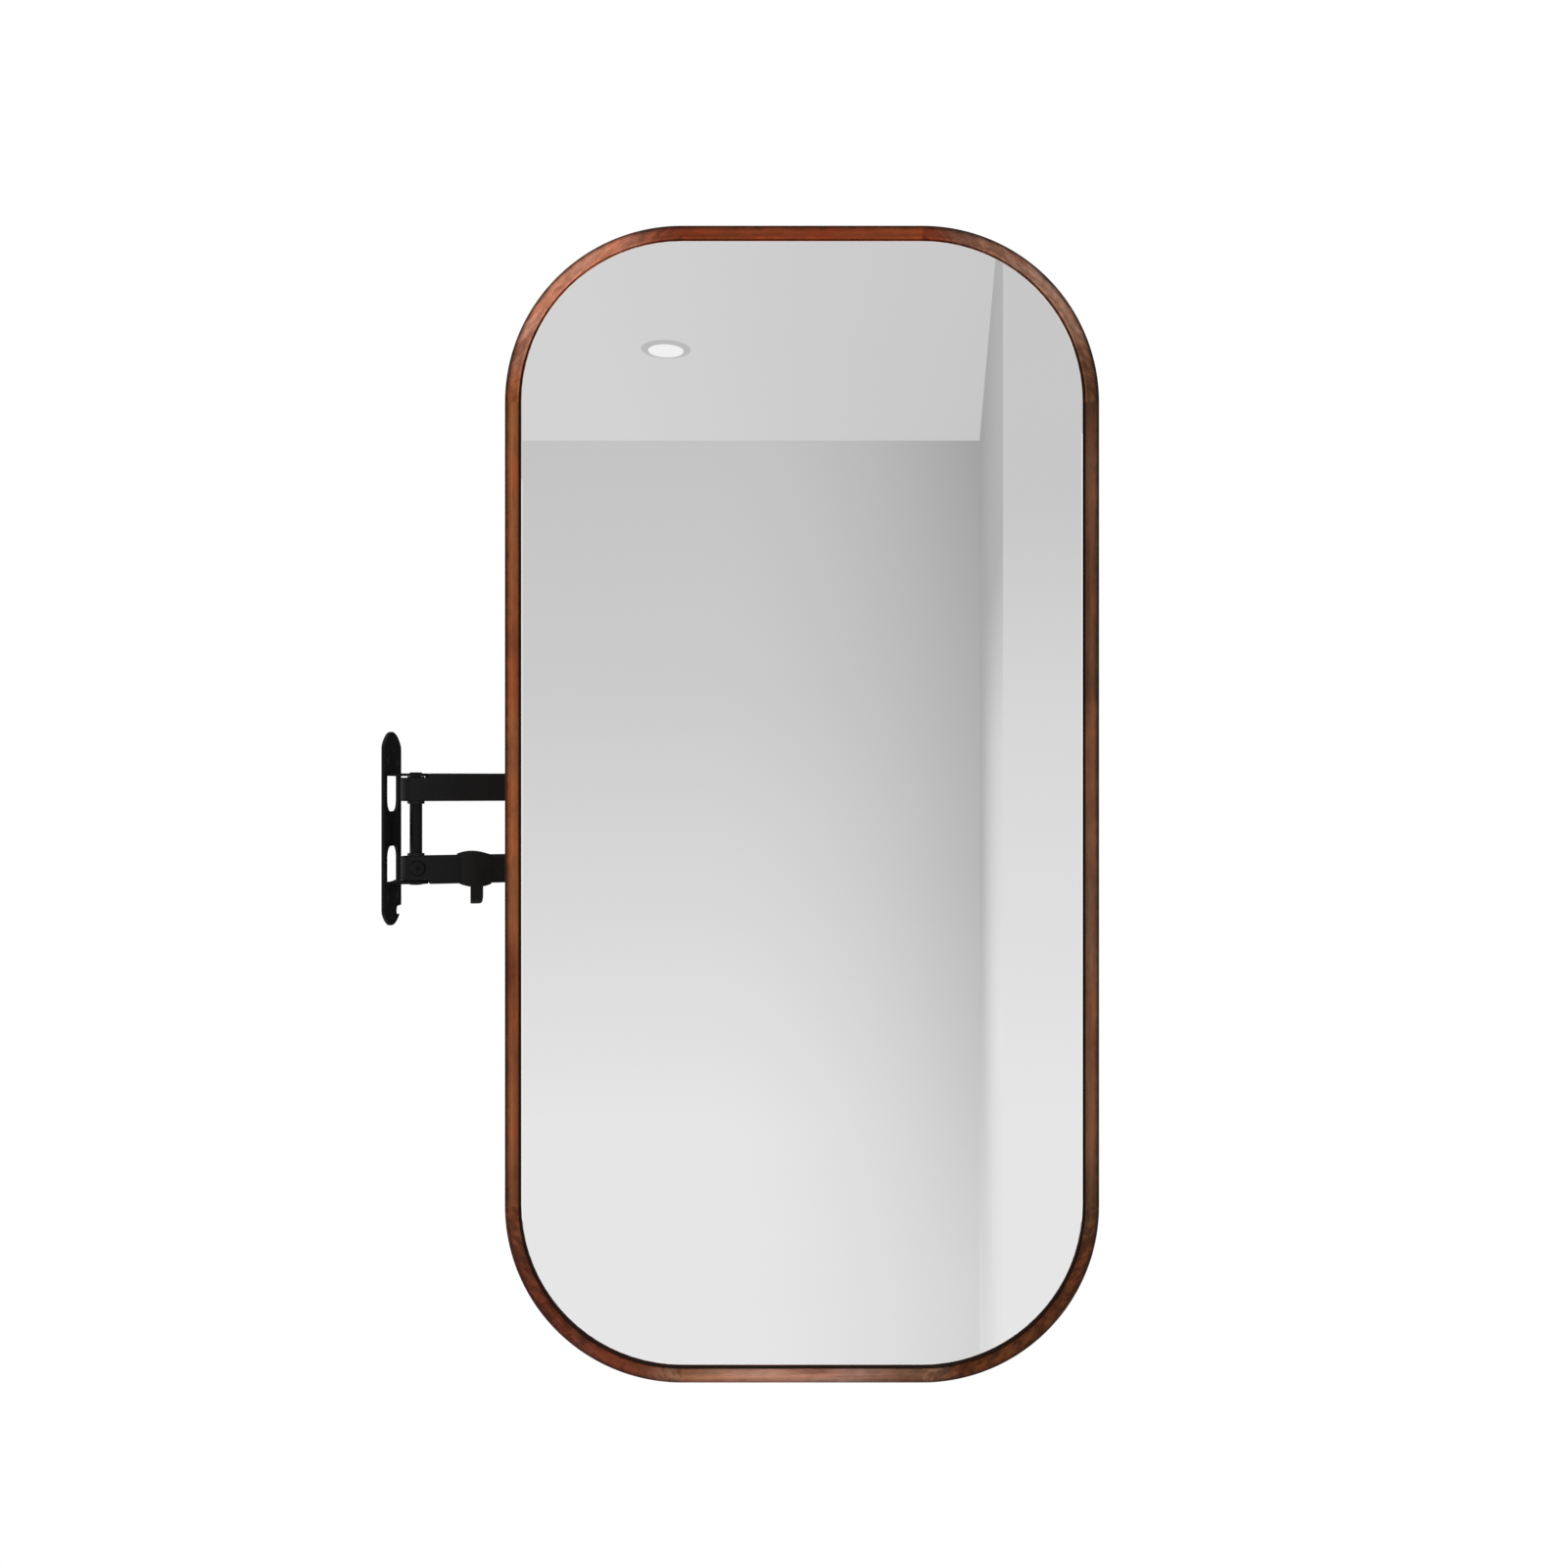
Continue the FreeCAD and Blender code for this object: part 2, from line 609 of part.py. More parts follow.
def head_pin():
    """Pin riveted through the yoke's ears."""
    return pin(YOKE_OUT)


def tilt_channel():
    """Bent steel channel whose two sides carry the tilt bolt."""
    web_y = (-YOKE_FRONT - SHEET_T, -YOKE_FRONT)
    half_w = CHANNEL_W / 2
    channel = box((-half_w, half_w), web_y, (-CHANNEL_HALF_H, CHANNEL_HALF_H))
    side = lug(CHANNEL_HALF_H, TILT_TO_SWIVEL - YOKE_FRONT, TILT_TIP_R, SHEET_T, TILT_BOLT_R + PIN_PLAY)
    for low_x in (-half_w, half_w - SHEET_T):
        channel = channel.fuse(laid(side, Vector(low_x, -YOKE_FRONT, 0), -Y, -Z))
    channel = channel.removeSplitter()
    for rivet_z in (-YOKE_RIVET_Z, YOKE_RIVET_Z):
        start = Vector(0, web_y[0], rivet_z)
        channel = channel.cut(rod(YOKE_RIVET_R + SEAT_PLAY, start, start + Y * SHEET_T))
    bends = edges_along(channel, Z, lambda middle: abs(middle.y + YOKE_FRONT) < SAME)
    return channel.makeFillet(SHEET_T * BEND_SHARE, bends)


def head_rivets():
    """The two rivets that hold the channel to the yoke."""
    one = rivet(YOKE_RIVET_R, YOKE_RIVET_HEAD_R, RIVET_HEAD_T, 2 * SHEET_T, True)
    pair = []
    for side in (-YOKE_RIVET_Z, YOKE_RIVET_Z):
        pair.append(aimed(one, Vector(0, SHEET_T - YOKE_FRONT, side), Y))
    return Part.makeCompound(pair)


def lug_bracket():
    """Bent steel bracket on the mount plate, with a lug on each side of the head's channel."""
    base_y = MOUNT_BACK - SWIVEL_DEPTH
    bracket = box((-LUG_OUT, LUG_OUT), (base_y, base_y + SHEET_T), (-LUG_HALF_H, LUG_HALF_H))
    side = lug(LUG_HALF_H, TILT_REACH, TILT_TIP_R, SHEET_T, TILT_BOLT_R + SEAT_PLAY)
    for low_x in (-LUG_OUT, LUG_IN):
        bracket = bracket.fuse(laid(side, Vector(low_x, base_y, 0), Y, Z))
    bracket = bracket.removeSplitter()
    for centre in lug_rivet_places():
        bracket = bracket.cut(rod(LUG_RIVET_R + SEAT_PLAY, centre, centre + Y * SHEET_T))
    bends = edges_along(bracket, Z, lambda middle: abs(middle.y - base_y) < SAME)
    return bracket.makeFillet(SHEET_T * BEND_SHARE, bends)


def lug_rivet_places():
    """Where the lug bracket's rivets meet the mount plate's back."""
    base_y = MOUNT_BACK - SWIVEL_DEPTH
    return [Vector(side_x, base_y, side_z)
            for side_x in (-LUG_RIVET_X, LUG_RIVET_X) for side_z in (-LUG_RIVET_Z, LUG_RIVET_Z)]


def lug_rivets():
    """The rivets through the lug bracket's web, flush at the front of the mount plate."""
    one = rivet(LUG_RIVET_R, LUG_RIVET_HEAD_R, RIVET_HEAD_T, SHEET_T + MOUNT_T, False)
    return Part.makeCompound([aimed(one, centre + Y * SHEET_T, Y) for centre in lug_rivet_places()])


def tilt_bolt():
    """Hexagon bolt through both lugs and both sides of the channel."""
    tilt_y = -TILT_TO_SWIVEL
    head = aimed(hexagon(TILT_BOLT_FLATS, TILT_BOLT_HEAD_H), Vector(-LUG_OUT, tilt_y, 0), -X)
    end = LUG_OUT + TILT_NUT_H + TILT_BOLT_SPARE
    shank = rod(TILT_BOLT_R, Vector(-LUG_OUT, tilt_y, 0), Vector(end, tilt_y, 0))
    return head.fuse(shank)


def tilt_nut():
    """Lock nut with a round nylon collar at its outer end."""
    tilt_y = -TILT_TO_SWIVEL
    hex_h = TILT_NUT_H - TILT_COLLAR_H
    start = Vector(LUG_OUT, tilt_y, 0)
    nut = aimed(hexagon(TILT_BOLT_FLATS, hex_h), start, X)
    nut = nut.fuse(rod(TILT_COLLAR_R, start + X * hex_h, start + X * TILT_NUT_H))
    return nut.cut(rod(TILT_BOLT_R + SEAT_PLAY, start, start + X * TILT_NUT_H))


def tilt_washers():
    """Friction washers between the lugs and the channel."""
    tilt_y = -TILT_TO_SWIVEL
    outer_r = TILT_TIP_R - FRICTION_WASHER_INSET
    inner_face = Vector(LUG_IN - FRICTION_WASHER_T, tilt_y, 0)
    right = tube(outer_r, TILT_BOLT_R + PIN_PLAY, inner_face, Vector(LUG_IN, tilt_y, 0))
    return Part.makeCompound([right, right.mirror(Vector(), X)])


def mount_bolt_places():
    """The four bolt centres, about the middle of the mount plate."""
    half = MOUNT_BOLT_PITCH / 2
    return [Vector(side_x, 0, side_z) for side_x in (-half, half) for side_z in (-half, half)]


def mount_plate():
    """Square steel plate bolted to the back panel."""
    front = PANEL_BACK - SWIVEL_DEPTH
    size = MOUNT_BOLT_PITCH + 2 * MOUNT_EDGE
    plate = slab(size, size, MOUNT_CORNER_R, (front, front + MOUNT_T))
    for centre in mount_bolt_places():
        start = centre + Y * front
        plate = plate.cut(rod(MOUNT_BOLT_R + HOLE_PLAY, start, start + Y * MOUNT_T))
    for centre in lug_rivet_places():
        plate = plate.cut(rod(LUG_RIVET_R + SEAT_PLAY, centre - Y * MOUNT_T, centre))
    return plate


def mount_bolts():
    """Button-head bolts from the mount plate's back into the T-nuts."""
    back = MOUNT_BACK - SWIVEL_DEPTH
    shank_l = MOUNT_T + PANEL_T
    one = button_screw(MOUNT_BOLT_R, shank_l, MOUNT_BOLT_HEAD_R, MOUNT_BOLT_HEAD_H, MOUNT_BOLT_SOCKET)
    return Part.makeCompound([aimed(one, centre + Y * back, Y) for centre in mount_bolt_places()])


def t_nuts():
    """Flanged nuts pressed into the panel from its front."""
    front = PANEL_FRONT - SWIVEL_DEPTH
    barrel = PANEL_T - T_NUT_SHORT
    nuts = []
    for centre in mount_bolt_places():
        seat = centre + Y * front
        nut = rod(T_NUT_FLANGE_R, seat - Y * T_NUT_FLANGE_T, seat)
        nut = nut.fuse(rod(T_NUT_R, seat, seat + Y * barrel))
        bore_start = seat - Y * T_NUT_FLANGE_T
        nuts.append(nut.cut(rod(MOUNT_BOLT_R + SEAT_PLAY, bore_start, seat + Y * barrel)))
    return Part.makeCompound(nuts)


def panel_screw_places():
    """Screw centres round the panel's margin, about the middle of the mirror."""
    side_x = FRAME_W / 2 - SCREW_INSET
    side_z = FRAME_H / 2 - SCREW_INSET
    bend = (FRAME_CORNER_R - SCREW_INSET) * math.sqrt(0.5)
    places = [Vector(0, 0, side_z), Vector(0, 0, -side_z)]
    for side in (-1, 1):
        for step in (-1, 0, 1):
            places.append(Vector(side * side_x, 0, step * (STRAIGHT_Z - PANEL_SCREW_END)))
        for end in (-1, 1):
            places.append(Vector(side * (STRAIGHT_X + bend), 0, end * (STRAIGHT_Z + bend)))
    return places


def countersunk(shank_r, head_r, length):
    """A countersunk screw body along -Z with its flat top at Z = 0."""
    head_h = head_r - shank_r
    cone = Part.makeCone(shank_r, head_r, head_h, Z * -head_h)
    return cone.fuse(rod(shank_r, Z * -length, Vector()))


def panel_screws():
    """Countersunk wood screws with a cross recess."""
    screw = countersunk(PANEL_SCREW_R, PANEL_SCREW_HEAD_R, PANEL_T + PANEL_SCREW_BITE)
    half_l = CROSS_L / 2
    half_w = CROSS_W / 2
    depth = (-CROSS_DEPTH, 0)
    for across in (((-half_l, half_l), (-half_w, half_w)), ((-half_w, half_w), (-half_l, half_l))):
        screw = screw.cut(box(across[0], across[1], depth))
    return Part.makeCompound([aimed(screw, place + Y * PANEL_BACK, Y) for place in panel_screw_places()])


def back_panel():
    """Plywood panel with countersunk screw holes and four holes for the T-nuts."""
    panel = frame_slab(REBATE_INSET + PANEL_PLAY, (PANEL_FRONT, PANEL_BACK))
    hole = countersunk(PANEL_SCREW_R + SEAT_PLAY, PANEL_SCREW_HEAD_R + SEAT_PLAY, PANEL_T)
    for place in panel_screw_places():
        panel = panel.cut(aimed(hole, place + Y * PANEL_BACK, Y))
    for centre in mount_bolt_places():
        start = centre + Vector(0, PANEL_FRONT, -MIRROR_RISE)
        panel = panel.cut(rod(T_NUT_R + SEAT_PLAY, start, start + Y * PANEL_T))
    return panel


def dowel_places():
    """Middle and direction of each dowel: two at each of the frame's eight joints."""
    mid_x = FRAME_W / 2 - FRAME_FACE / 2
    mid_z = FRAME_H / 2 - FRAME_FACE / 2
    places = []
    for depth in (DOWEL_INSET, FRAME_DEPTH - DOWEL_INSET):
        for side in (-1, 1):
            for end in (-1, 1):
                places.append((Vector(side * STRAIGHT_X, depth, end * mid_z), X))
                places.append((Vector(side * mid_x, depth, end * STRAIGHT_Z), Z))
    return places


def frame_dowels():
    """Beech dowels hidden in the frame's joints."""
    half = DOWEL_L / 2
    return Part.makeCompound([rod(DOWEL_R, middle - along * half, middle + along * half)
                              for middle, along in dowel_places()])


def wood_ring():
    """The whole frame before it is parted into rails and corner blocks."""
    ring = frame_slab(0, (0, FRAME_DEPTH))
    ring = ring.makeFillet(FRONT_ROUND, edges_in_plane(ring, Y, 0))
    ring = ring.makeFillet(BACK_ROUND, edges_in_plane(ring, Y, FRAME_DEPTH))
    ring = ring.cut(frame_slab(FRAME_FACE, (0, LEDGE_FRONT)))
    ring = ring.cut(frame_slab(LEDGE_INSET, (0, FRAME_DEPTH)))
    ring = ring.cut(frame_slab(REBATE_INSET, (PANEL_FRONT, FRAME_DEPTH)))
    wires = []
    for inset, depth in ((FRAME_FACE - INNER_ARRIS, 0), (FRAME_FACE, INNER_ARRIS)):
        wires.append(rounded_wire(FRAME_W - 2 * inset, FRAME_H - 2 * inset, FRAME_CORNER_R - inset, depth))
    ring = ring.cut(Part.makeLoft(wires, True, True))
    half = DOWEL_L / 2 + DOWEL_END_PLAY
    for middle, along in dowel_places():
        ring = ring.cut(rod(DOWEL_R + PIN_PLAY, middle - along * half, middle + along * half))
    for place in panel_screw_places():
        start = place + Y * PANEL_FRONT
        ring = ring.cut(rod(PANEL_SCREW_R + SEAT_PLAY, start - Y * PANEL_SCREW_BITE, start))
    return ring


def frame_pieces():
    """The four rails and four corner blocks, by name."""
    ring = wood_ring()
    columns = {"left": (-FRAME_W, -STRAIGHT_X), "right": (STRAIGHT_X, FRAME_W)}
    rows = {"top": (STRAIGHT_Z, FRAME_H), "bottom": (-FRAME_H, -STRAIGHT_Z)}
    depth = (0, FRAME_DEPTH)
    pieces = {}
    for row, z_range in rows.items():
        pieces["rail_" + row] = ring.common(box((-STRAIGHT_X, STRAIGHT_X), depth, z_range))
        for column, x_range in columns.items():
            pieces["corner_" + row + "_" + column] = ring.common(box(x_range, depth, z_range))
    for column, x_range in columns.items():
        pieces["rail_" + column] = ring.common(box(x_range, depth, (-STRAIGHT_Z, STRAIGHT_Z)))
    return pieces


def mirror_glass():
    """Silvered pane with a polished bevel round its front."""
    pane = frame_slab(GLASS_INSET, (GLASS_RECESS, GLASS_BACK))
    pane = pane.makeChamfer(GLASS_BEVEL, edges_in_plane(pane, Y, GLASS_RECESS))
    pane.translate(Z * GLASS_LIFT)
    return pane


def glass_gasket():
    """Black rubber strip that fills the gap between the pane's edge and the wood."""
    depth = (GLASS_RECESS + GLASS_BEVEL + GASKET_DROP, LEDGE_FRONT)
    room_for_pane = frame_slab(GLASS_INSET - PIN_PLAY, depth)
    room_for_pane.translate(Z * GLASS_LIFT)
    return frame_slab(FRAME_FACE + PIN_PLAY, depth).cut(room_for_pane)


def mirror_tape():
    """Ring of double-sided tape between the pane and the frame's ledge."""
    return frame_ring(GLASS_INSET + TAPE_INSET, LEDGE_INSET - TAPE_INSET, (GLASS_BACK, LEDGE_FRONT))


def glass_pads():
    """Foam blocks that hold the middle of the pane off the panel."""
    half = PAD_SIZE / 2
    pads = []
    for centre_x in (-PAD_X, PAD_X):
        for centre_z in (-PAD_Z, 0, PAD_Z):
            x_range = (centre_x - half, centre_x + half)
            z_range = (centre_z - half, centre_z + half)
            pads.append(box(x_range, (GLASS_BACK, PANEL_FRONT), z_range))
    return Part.makeCompound(pads)


def placed_pieces():
    """Every node's shape at rest, in the wall's frame."""
    pieces = {"wall_plate": wall_plate(), "wall_pivot_pin": wall_pivot_pin()}
    first_arm = {
        "upper_bar": first_arm_bar(),
        "lower_bar": lower_bar(),
        "post": post(),
        "wall_bushes": wall_bushes(),
        "ear_washers": ear_washers(),
        "elbow_pin": elbow_pin(),
        "tension_screw": tension_screw(),
        "cable_hook": cable_hook(),
    }
    for name, shape in first_arm.items():
        pieces[name] = on_arm(shape, WALL_PIVOT, FIRST_ARM_REST)
    second = {
        "second_arm": second_arm(),
        "elbow_bushes": second_arm_bushes(0),
        "head_bushes": second_arm_bushes(SECOND_ARM_L),
    }
    for name, shape in second.items():
        pieces[name] = on_arm(shape, ELBOW, SECOND_ARM_REST)
    head = {
        "swivel_yoke": swivel_yoke(),
        "head_pin": head_pin(),
        "tilt_channel": tilt_channel(),
        "head_rivets": head_rivets(),
        "lug_bracket": lug_bracket(),
        "lug_rivets": lug_rivets(),
        "tilt_bolt": tilt_bolt(),
        "tilt_nut": tilt_nut(),
        "tilt_washers": tilt_washers(),
        "mount_plate": mount_plate(),
        "mount_bolts": mount_bolts(),
        "t_nuts": t_nuts(),
    }
    for name, shape in head.items():
        pieces[name] = on_arm(shape, HEAD_PIVOT, 0)
    mirror = {
        "back_panel": back_panel(),
        "panel_screws": panel_screws(),
        "frame_dowels": frame_dowels(),
        "mirror_glass": mirror_glass(),
        "glass_gasket": glass_gasket(),
        "mirror_tape": mirror_tape(),
        "glass_pads": glass_pads(),
    }
    mirror.update(frame_pieces())
    mirror_middle = HEAD_PIVOT + Vector(0, -SWIVEL_DEPTH, MIRROR_RISE)
    for name, shape in mirror.items():
        pieces[name] = on_arm(shape, mirror_middle, 0)
    return pieces


os.makedirs("parts", exist_ok=True)
for node, shape in placed_pieces().items():
    shape.exportStep("parts/" + node + ".step")
    print(node, len(shape.Solids), "solids,", round(shape.Volume), "mm3, valid:", shape.isValid())
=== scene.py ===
import math
import bmesh
import bpy
from mathutils import Matrix, Vector


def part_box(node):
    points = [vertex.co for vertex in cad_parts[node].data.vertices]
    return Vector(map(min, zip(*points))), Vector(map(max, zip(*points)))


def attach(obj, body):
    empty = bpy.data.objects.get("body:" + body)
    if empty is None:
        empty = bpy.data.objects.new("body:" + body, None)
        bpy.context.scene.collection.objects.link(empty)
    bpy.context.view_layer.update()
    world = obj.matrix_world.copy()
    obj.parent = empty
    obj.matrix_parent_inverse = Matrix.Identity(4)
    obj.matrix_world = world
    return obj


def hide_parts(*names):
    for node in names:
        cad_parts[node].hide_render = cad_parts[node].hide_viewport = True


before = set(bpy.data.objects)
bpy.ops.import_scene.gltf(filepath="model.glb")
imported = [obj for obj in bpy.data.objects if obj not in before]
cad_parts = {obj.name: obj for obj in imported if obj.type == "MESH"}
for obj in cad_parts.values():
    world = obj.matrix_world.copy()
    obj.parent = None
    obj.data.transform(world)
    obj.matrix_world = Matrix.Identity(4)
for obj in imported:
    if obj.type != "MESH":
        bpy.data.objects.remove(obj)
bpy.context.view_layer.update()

# Wall plate and the pin riveted through its ears: pressed mild steel with two windows, deburred, then
# powder coated black in one go, so the coat has a fine peel all over and thins a little where it flowed.
# The plate is screwed flat to the wall.

COAT_PEEL = 1500.0
COAT_PEEL_DEPTH = 0.0004
COAT_SPECULAR = 0.16
THIN_COAT = (1.5, 1.5, 1.55, 1)
RUBBED_COAT = (0.030, 0.029, 0.028, 1)
STEEL_BLACK = (0.0050, 0.0050, 0.0054, 1)


def add_node(tree, kind, inputs=None, **settings):
    """A shader node with its settings, and a value or a link on each named input."""
    made = tree.nodes.new("ShaderNode" + kind)
    for name, value in settings.items():
        setattr(made, name, value)
    for key, value in (inputs or {}).items():
        if isinstance(value, bpy.types.NodeSocket):
            tree.links.new(value, made.inputs[key])
        else:
            made.inputs[key].default_value = value
    return made


def colour_mix(tree, factor, first, second, blend="MIX"):
    """The colour between two colours or colour sockets."""
    mixed = add_node(tree, "Mix", {0: factor, 6: first, 7: second}, data_type="RGBA", blend_type=blend)
    return mixed.outputs[2]


def rescaled(tree, value, low, high, to_low, to_high, smooth=False):
    """A value moved from one range to another and held inside it."""
    ranges = {"Value": value, "From Min": low, "From Max": high, "To Min": to_low, "To Max": to_high}
    kind = "SMOOTHSTEP" if smooth else "LINEAR"
    return add_node(tree, "MapRange", ranges, interpolation_type=kind).outputs["Result"]


def calculated(tree, operation, first, second):
    """One sum or product of two values or value sockets."""
    return add_node(tree, "Math", {0: first, 1: second}, operation=operation).outputs[0]


def noise(tree, place, stretch, detail, roughness=0.5):
    """Noise with its own scale along each axis."""
    spread = add_node(tree, "Mapping", {"Vector": place, "Scale": stretch})
    made = add_node(tree, "TexNoise", {"Vector": spread.outputs["Vector"], "Scale": 1.0, "Detail": detail,
                                       "Roughness": roughness})
    return made.outputs["Fac"]


def even_noise(tree, place, scale, detail, roughness=0.5):
    """Noise with one scale in all directions."""
    return noise(tree, place, (scale, scale, scale), detail, roughness)


def effect_group(name, inputs, outputs):
    """A shader node group with named sockets, and its two ends."""
    group = bpy.data.node_groups.new(name, "ShaderNodeTree")
    for socket_name, kind, value in inputs:
        socket = group.interface.new_socket(socket_name, in_out="INPUT", socket_type="NodeSocket" + kind)
        if value is not None:
            socket.default_value = value
    for socket_name, kind in outputs:
        group.interface.new_socket(socket_name, in_out="OUTPUT", socket_type="NodeSocket" + kind)
    return group, group.nodes.new("NodeGroupInput"), group.nodes.new("NodeGroupOutput")


def powder_coat_group():
    """Sprayed and baked coat: fine peel, slow drifts of tone and gloss, and rubbed specks."""
    group, given, result = effect_group(
        "powder_coat",
        [("Vector", "Vector", None), ("Colour", "Color", (0, 0, 0, 1)), ("Peel", "Float", COAT_PEEL)],
        [("Colour", "Color"), ("Roughness", "Float"), ("Height", "Float")])
    place = given.outputs["Vector"]
    peel = add_node(group, "TexNoise", {"Vector": place, "Scale": given.outputs["Peel"], "Detail": 2.0})
    drift = even_noise(group, place, 24.0, 4.0)
    rub = even_noise(group, place, 310.0, 6.0, 0.7)
    specks = rescaled(group, rub, 0.66, 0.78, 0.0, 0.5)
    thin = colour_mix(group, 1.0, given.outputs["Colour"], THIN_COAT, "MULTIPLY")
    coat = colour_mix(group, rescaled(group, drift, 0.3, 0.7, 0.0, 1.0), given.outputs["Colour"], thin)
    group.links.new(colour_mix(group, specks, coat, RUBBED_COAT), result.inputs["Colour"])
    gloss = rescaled(group, drift, 0.3, 0.7, 0.60, 0.46)
    group.links.new(calculated(group, "ADD", gloss, calculated(group, "MULTIPLY", specks, 0.3)),
                    result.inputs["Roughness"])
    group.links.new(peel.outputs["Fac"], result.inputs["Height"])
    return group


def blank_material(name):
    """A new material and its node tree, emptied."""
    material = bpy.data.materials.new(name)
    material.use_nodes = True
    material.node_tree.nodes.clear()
    return material, material.node_tree


def surface(tree, inputs):
    """The material's shader, wired to its output."""
    shader = add_node(tree, "BsdfPrincipled", inputs)
    add_node(tree, "OutputMaterial", {"Surface": shader.outputs[0]})


def bumped(tree, height, strength, distance):
    """A normal with a height laid over the surface."""
    bump = add_node(tree, "Bump", {"Height": height, "Strength": strength, "Distance": distance})
    return bump.outputs["Normal"]


def object_place(tree):
    """The piece's own coordinates, in metres."""
    return add_node(tree, "TexCoord").outputs["Object"]


def put_on(material, *nodes):
    """Gives CAD nodes a finish."""
    for node in nodes:
        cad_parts[node].material_slots[0].material = material


powder_coat = powder_coat_group()


def coated_metal(name, colour, peel):
    """Powder-coated metal."""
    material, tree = blank_material(name)
    coat = add_node(tree, "Group", {"Vector": object_place(tree), "Colour": colour, "Peel": peel},
                    node_tree=powder_coat)
    surface(tree, {
        "Base Color": coat.outputs["Colour"], "Roughness": coat.outputs["Roughness"],
        "Specular IOR Level": COAT_SPECULAR,
        "Normal": bumped(tree, coat.outputs["Height"], 0.25, COAT_PEEL_DEPTH),
    })
    return material


coated_steel = coated_metal("coated_steel", STEEL_BLACK, COAT_PEEL)
put_on(coated_steel, "wall_plate", "wall_pivot_pin")

# First arm: two black-coated aluminium bars on a steel post, joined at the elbow by a riveted pin.
# The bars are cut from drawn stock, so faint draw lines run along them under the coat. A socket screw
# in the lower eye sets how stiffly the arm swings.

FIRST_ARM_TURN = math.radians(20.0)
BAR_BLACK = (0.0055, 0.0055, 0.0058, 1)
BAR_PEEL = 1900.0
DRAW_LINES = (4.0, 420.0, 420.0)
DRAW_LINE_SHARE = 0.8
SCREW_BLACK = (0.0045, 0.0045, 0.005, 1)
SCREW_PEEL = 2600.0


def drawn_bar(name, turn):
    """Coated aluminium bar stock whose draw lines run along an arm turned about the upright."""
    material, tree = blank_material(name)
    place = object_place(tree)
    coat = add_node(tree, "Group", {"Vector": place, "Colour": BAR_BLACK, "Peel": BAR_PEEL},
                    node_tree=powder_coat)
    along = add_node(tree, "Mapping", {"Vector": place, "Rotation": (0.0, 0.0, -turn)})
    lines = noise(tree, along.outputs["Vector"], DRAW_LINES, 3.0)
    height = calculated(tree, "ADD", calculated(tree, "MULTIPLY", lines, DRAW_LINE_SHARE),
                        coat.outputs["Height"])
    surface(tree, {
        "Base Color": coat.outputs["Colour"], "Roughness": coat.outputs["Roughness"],
        "Specular IOR Level": COAT_SPECULAR, "Normal": bumped(tree, height, 0.22, COAT_PEEL_DEPTH),
    })
    return material


put_on(drawn_bar("first_arm_coat", FIRST_ARM_TURN), "upper_bar", "lower_bar")
put_on(coated_steel, "post", "elbow_pin")
put_on(coated_metal("black_screw", SCREW_BLACK, SCREW_PEEL), "tension_screw")

# Bushes and washers: black nylon, injection moulded, with a faint flow mark and a dull skin.
# They are pressed into the bars and turn on the pins; the tilt washers are stamped from the same stock.

NYLON_BLACK = (0.008, 0.008, 0.009, 1)
NYLON_FLOW_MARK = (0.016, 0.016, 0.017, 1)

nylon, tree = blank_material("black_nylon")
place = object_place(tree)
flow = even_noise(tree, place, 140.0, 3.0)
surface(tree, {
    "Base Color": colour_mix(tree, rescaled(tree, flow, 0.3, 0.7, 0.0, 1.0),
                             NYLON_BLACK, NYLON_FLOW_MARK),
    "Roughness": rescaled(tree, flow, 0.3, 0.7, 0.45, 0.62), "Specular IOR Level": 0.3,
    "Normal": bumped(tree, even_noise(tree, place, 2400.0, 2.0), 0.15, 0.0002),
})
put_on(nylon, "wall_bushes", "ear_washers", "elbow_bushes", "head_bushes", "tilt_washers")

# Cable hook: one black moulding that snaps round the lower bar, thick in its middle and thin at its rims,
# with an open hook under it for a lead. The mould was spark-eroded, which leaves a fine even grain.

HOOK_BLACK = (0.005, 0.005, 0.005, 1)
HOOK_SHEEN = (0.011, 0.011, 0.010, 1)
MOULD_GRAIN = 3200.0

hook_plastic, tree = blank_material("hook_plastic")
place = object_place(tree)
sheen = even_noise(tree, place, 90.0, 3.0)
surface(tree, {
    "Base Color": colour_mix(tree, sheen, HOOK_BLACK, HOOK_SHEEN),
    "Roughness": rescaled(tree, sheen, 0.3, 0.7, 0.48, 0.64), "Specular IOR Level": 0.15,
    "Normal": bumped(tree, even_noise(tree, place, MOULD_GRAIN, 3.0), 0.3, 0.0003),
})
put_on(hook_plastic, "cable_hook")

# Second arm: one deep bar of the same drawn aluminium, slotted to save weight and coated black.
# It folds in between the first arm's two bars and carries a bush at each end.

SECOND_ARM_TURN = math.radians(-22.1722)
put_on(drawn_bar("second_arm_coat", SECOND_ARM_TURN), "second_arm")

# Swivel head and tilt bracket: bent steel sheet, punched, riveted together and coated black like the
# wall plate before the bolt goes in. The mount plate is the same sheet, bolted to the mirror's back.

put_on(coated_steel, "swivel_yoke", "head_pin", "tilt_channel", "head_rivets",
       "lug_bracket", "lug_rivets", "mount_plate")

# Bolts, nuts and screws: zinc-plated steel, dulled by a chalky haze, with a passivated tint that drifts
# from bluish to straw. The bolts hold the mount plate and the tilt hinge, the screws the back panel.

ZINC_BLUISH = (0.58, 0.61, 0.66, 1)
ZINC_STRAW = (0.66, 0.63, 0.55, 1)

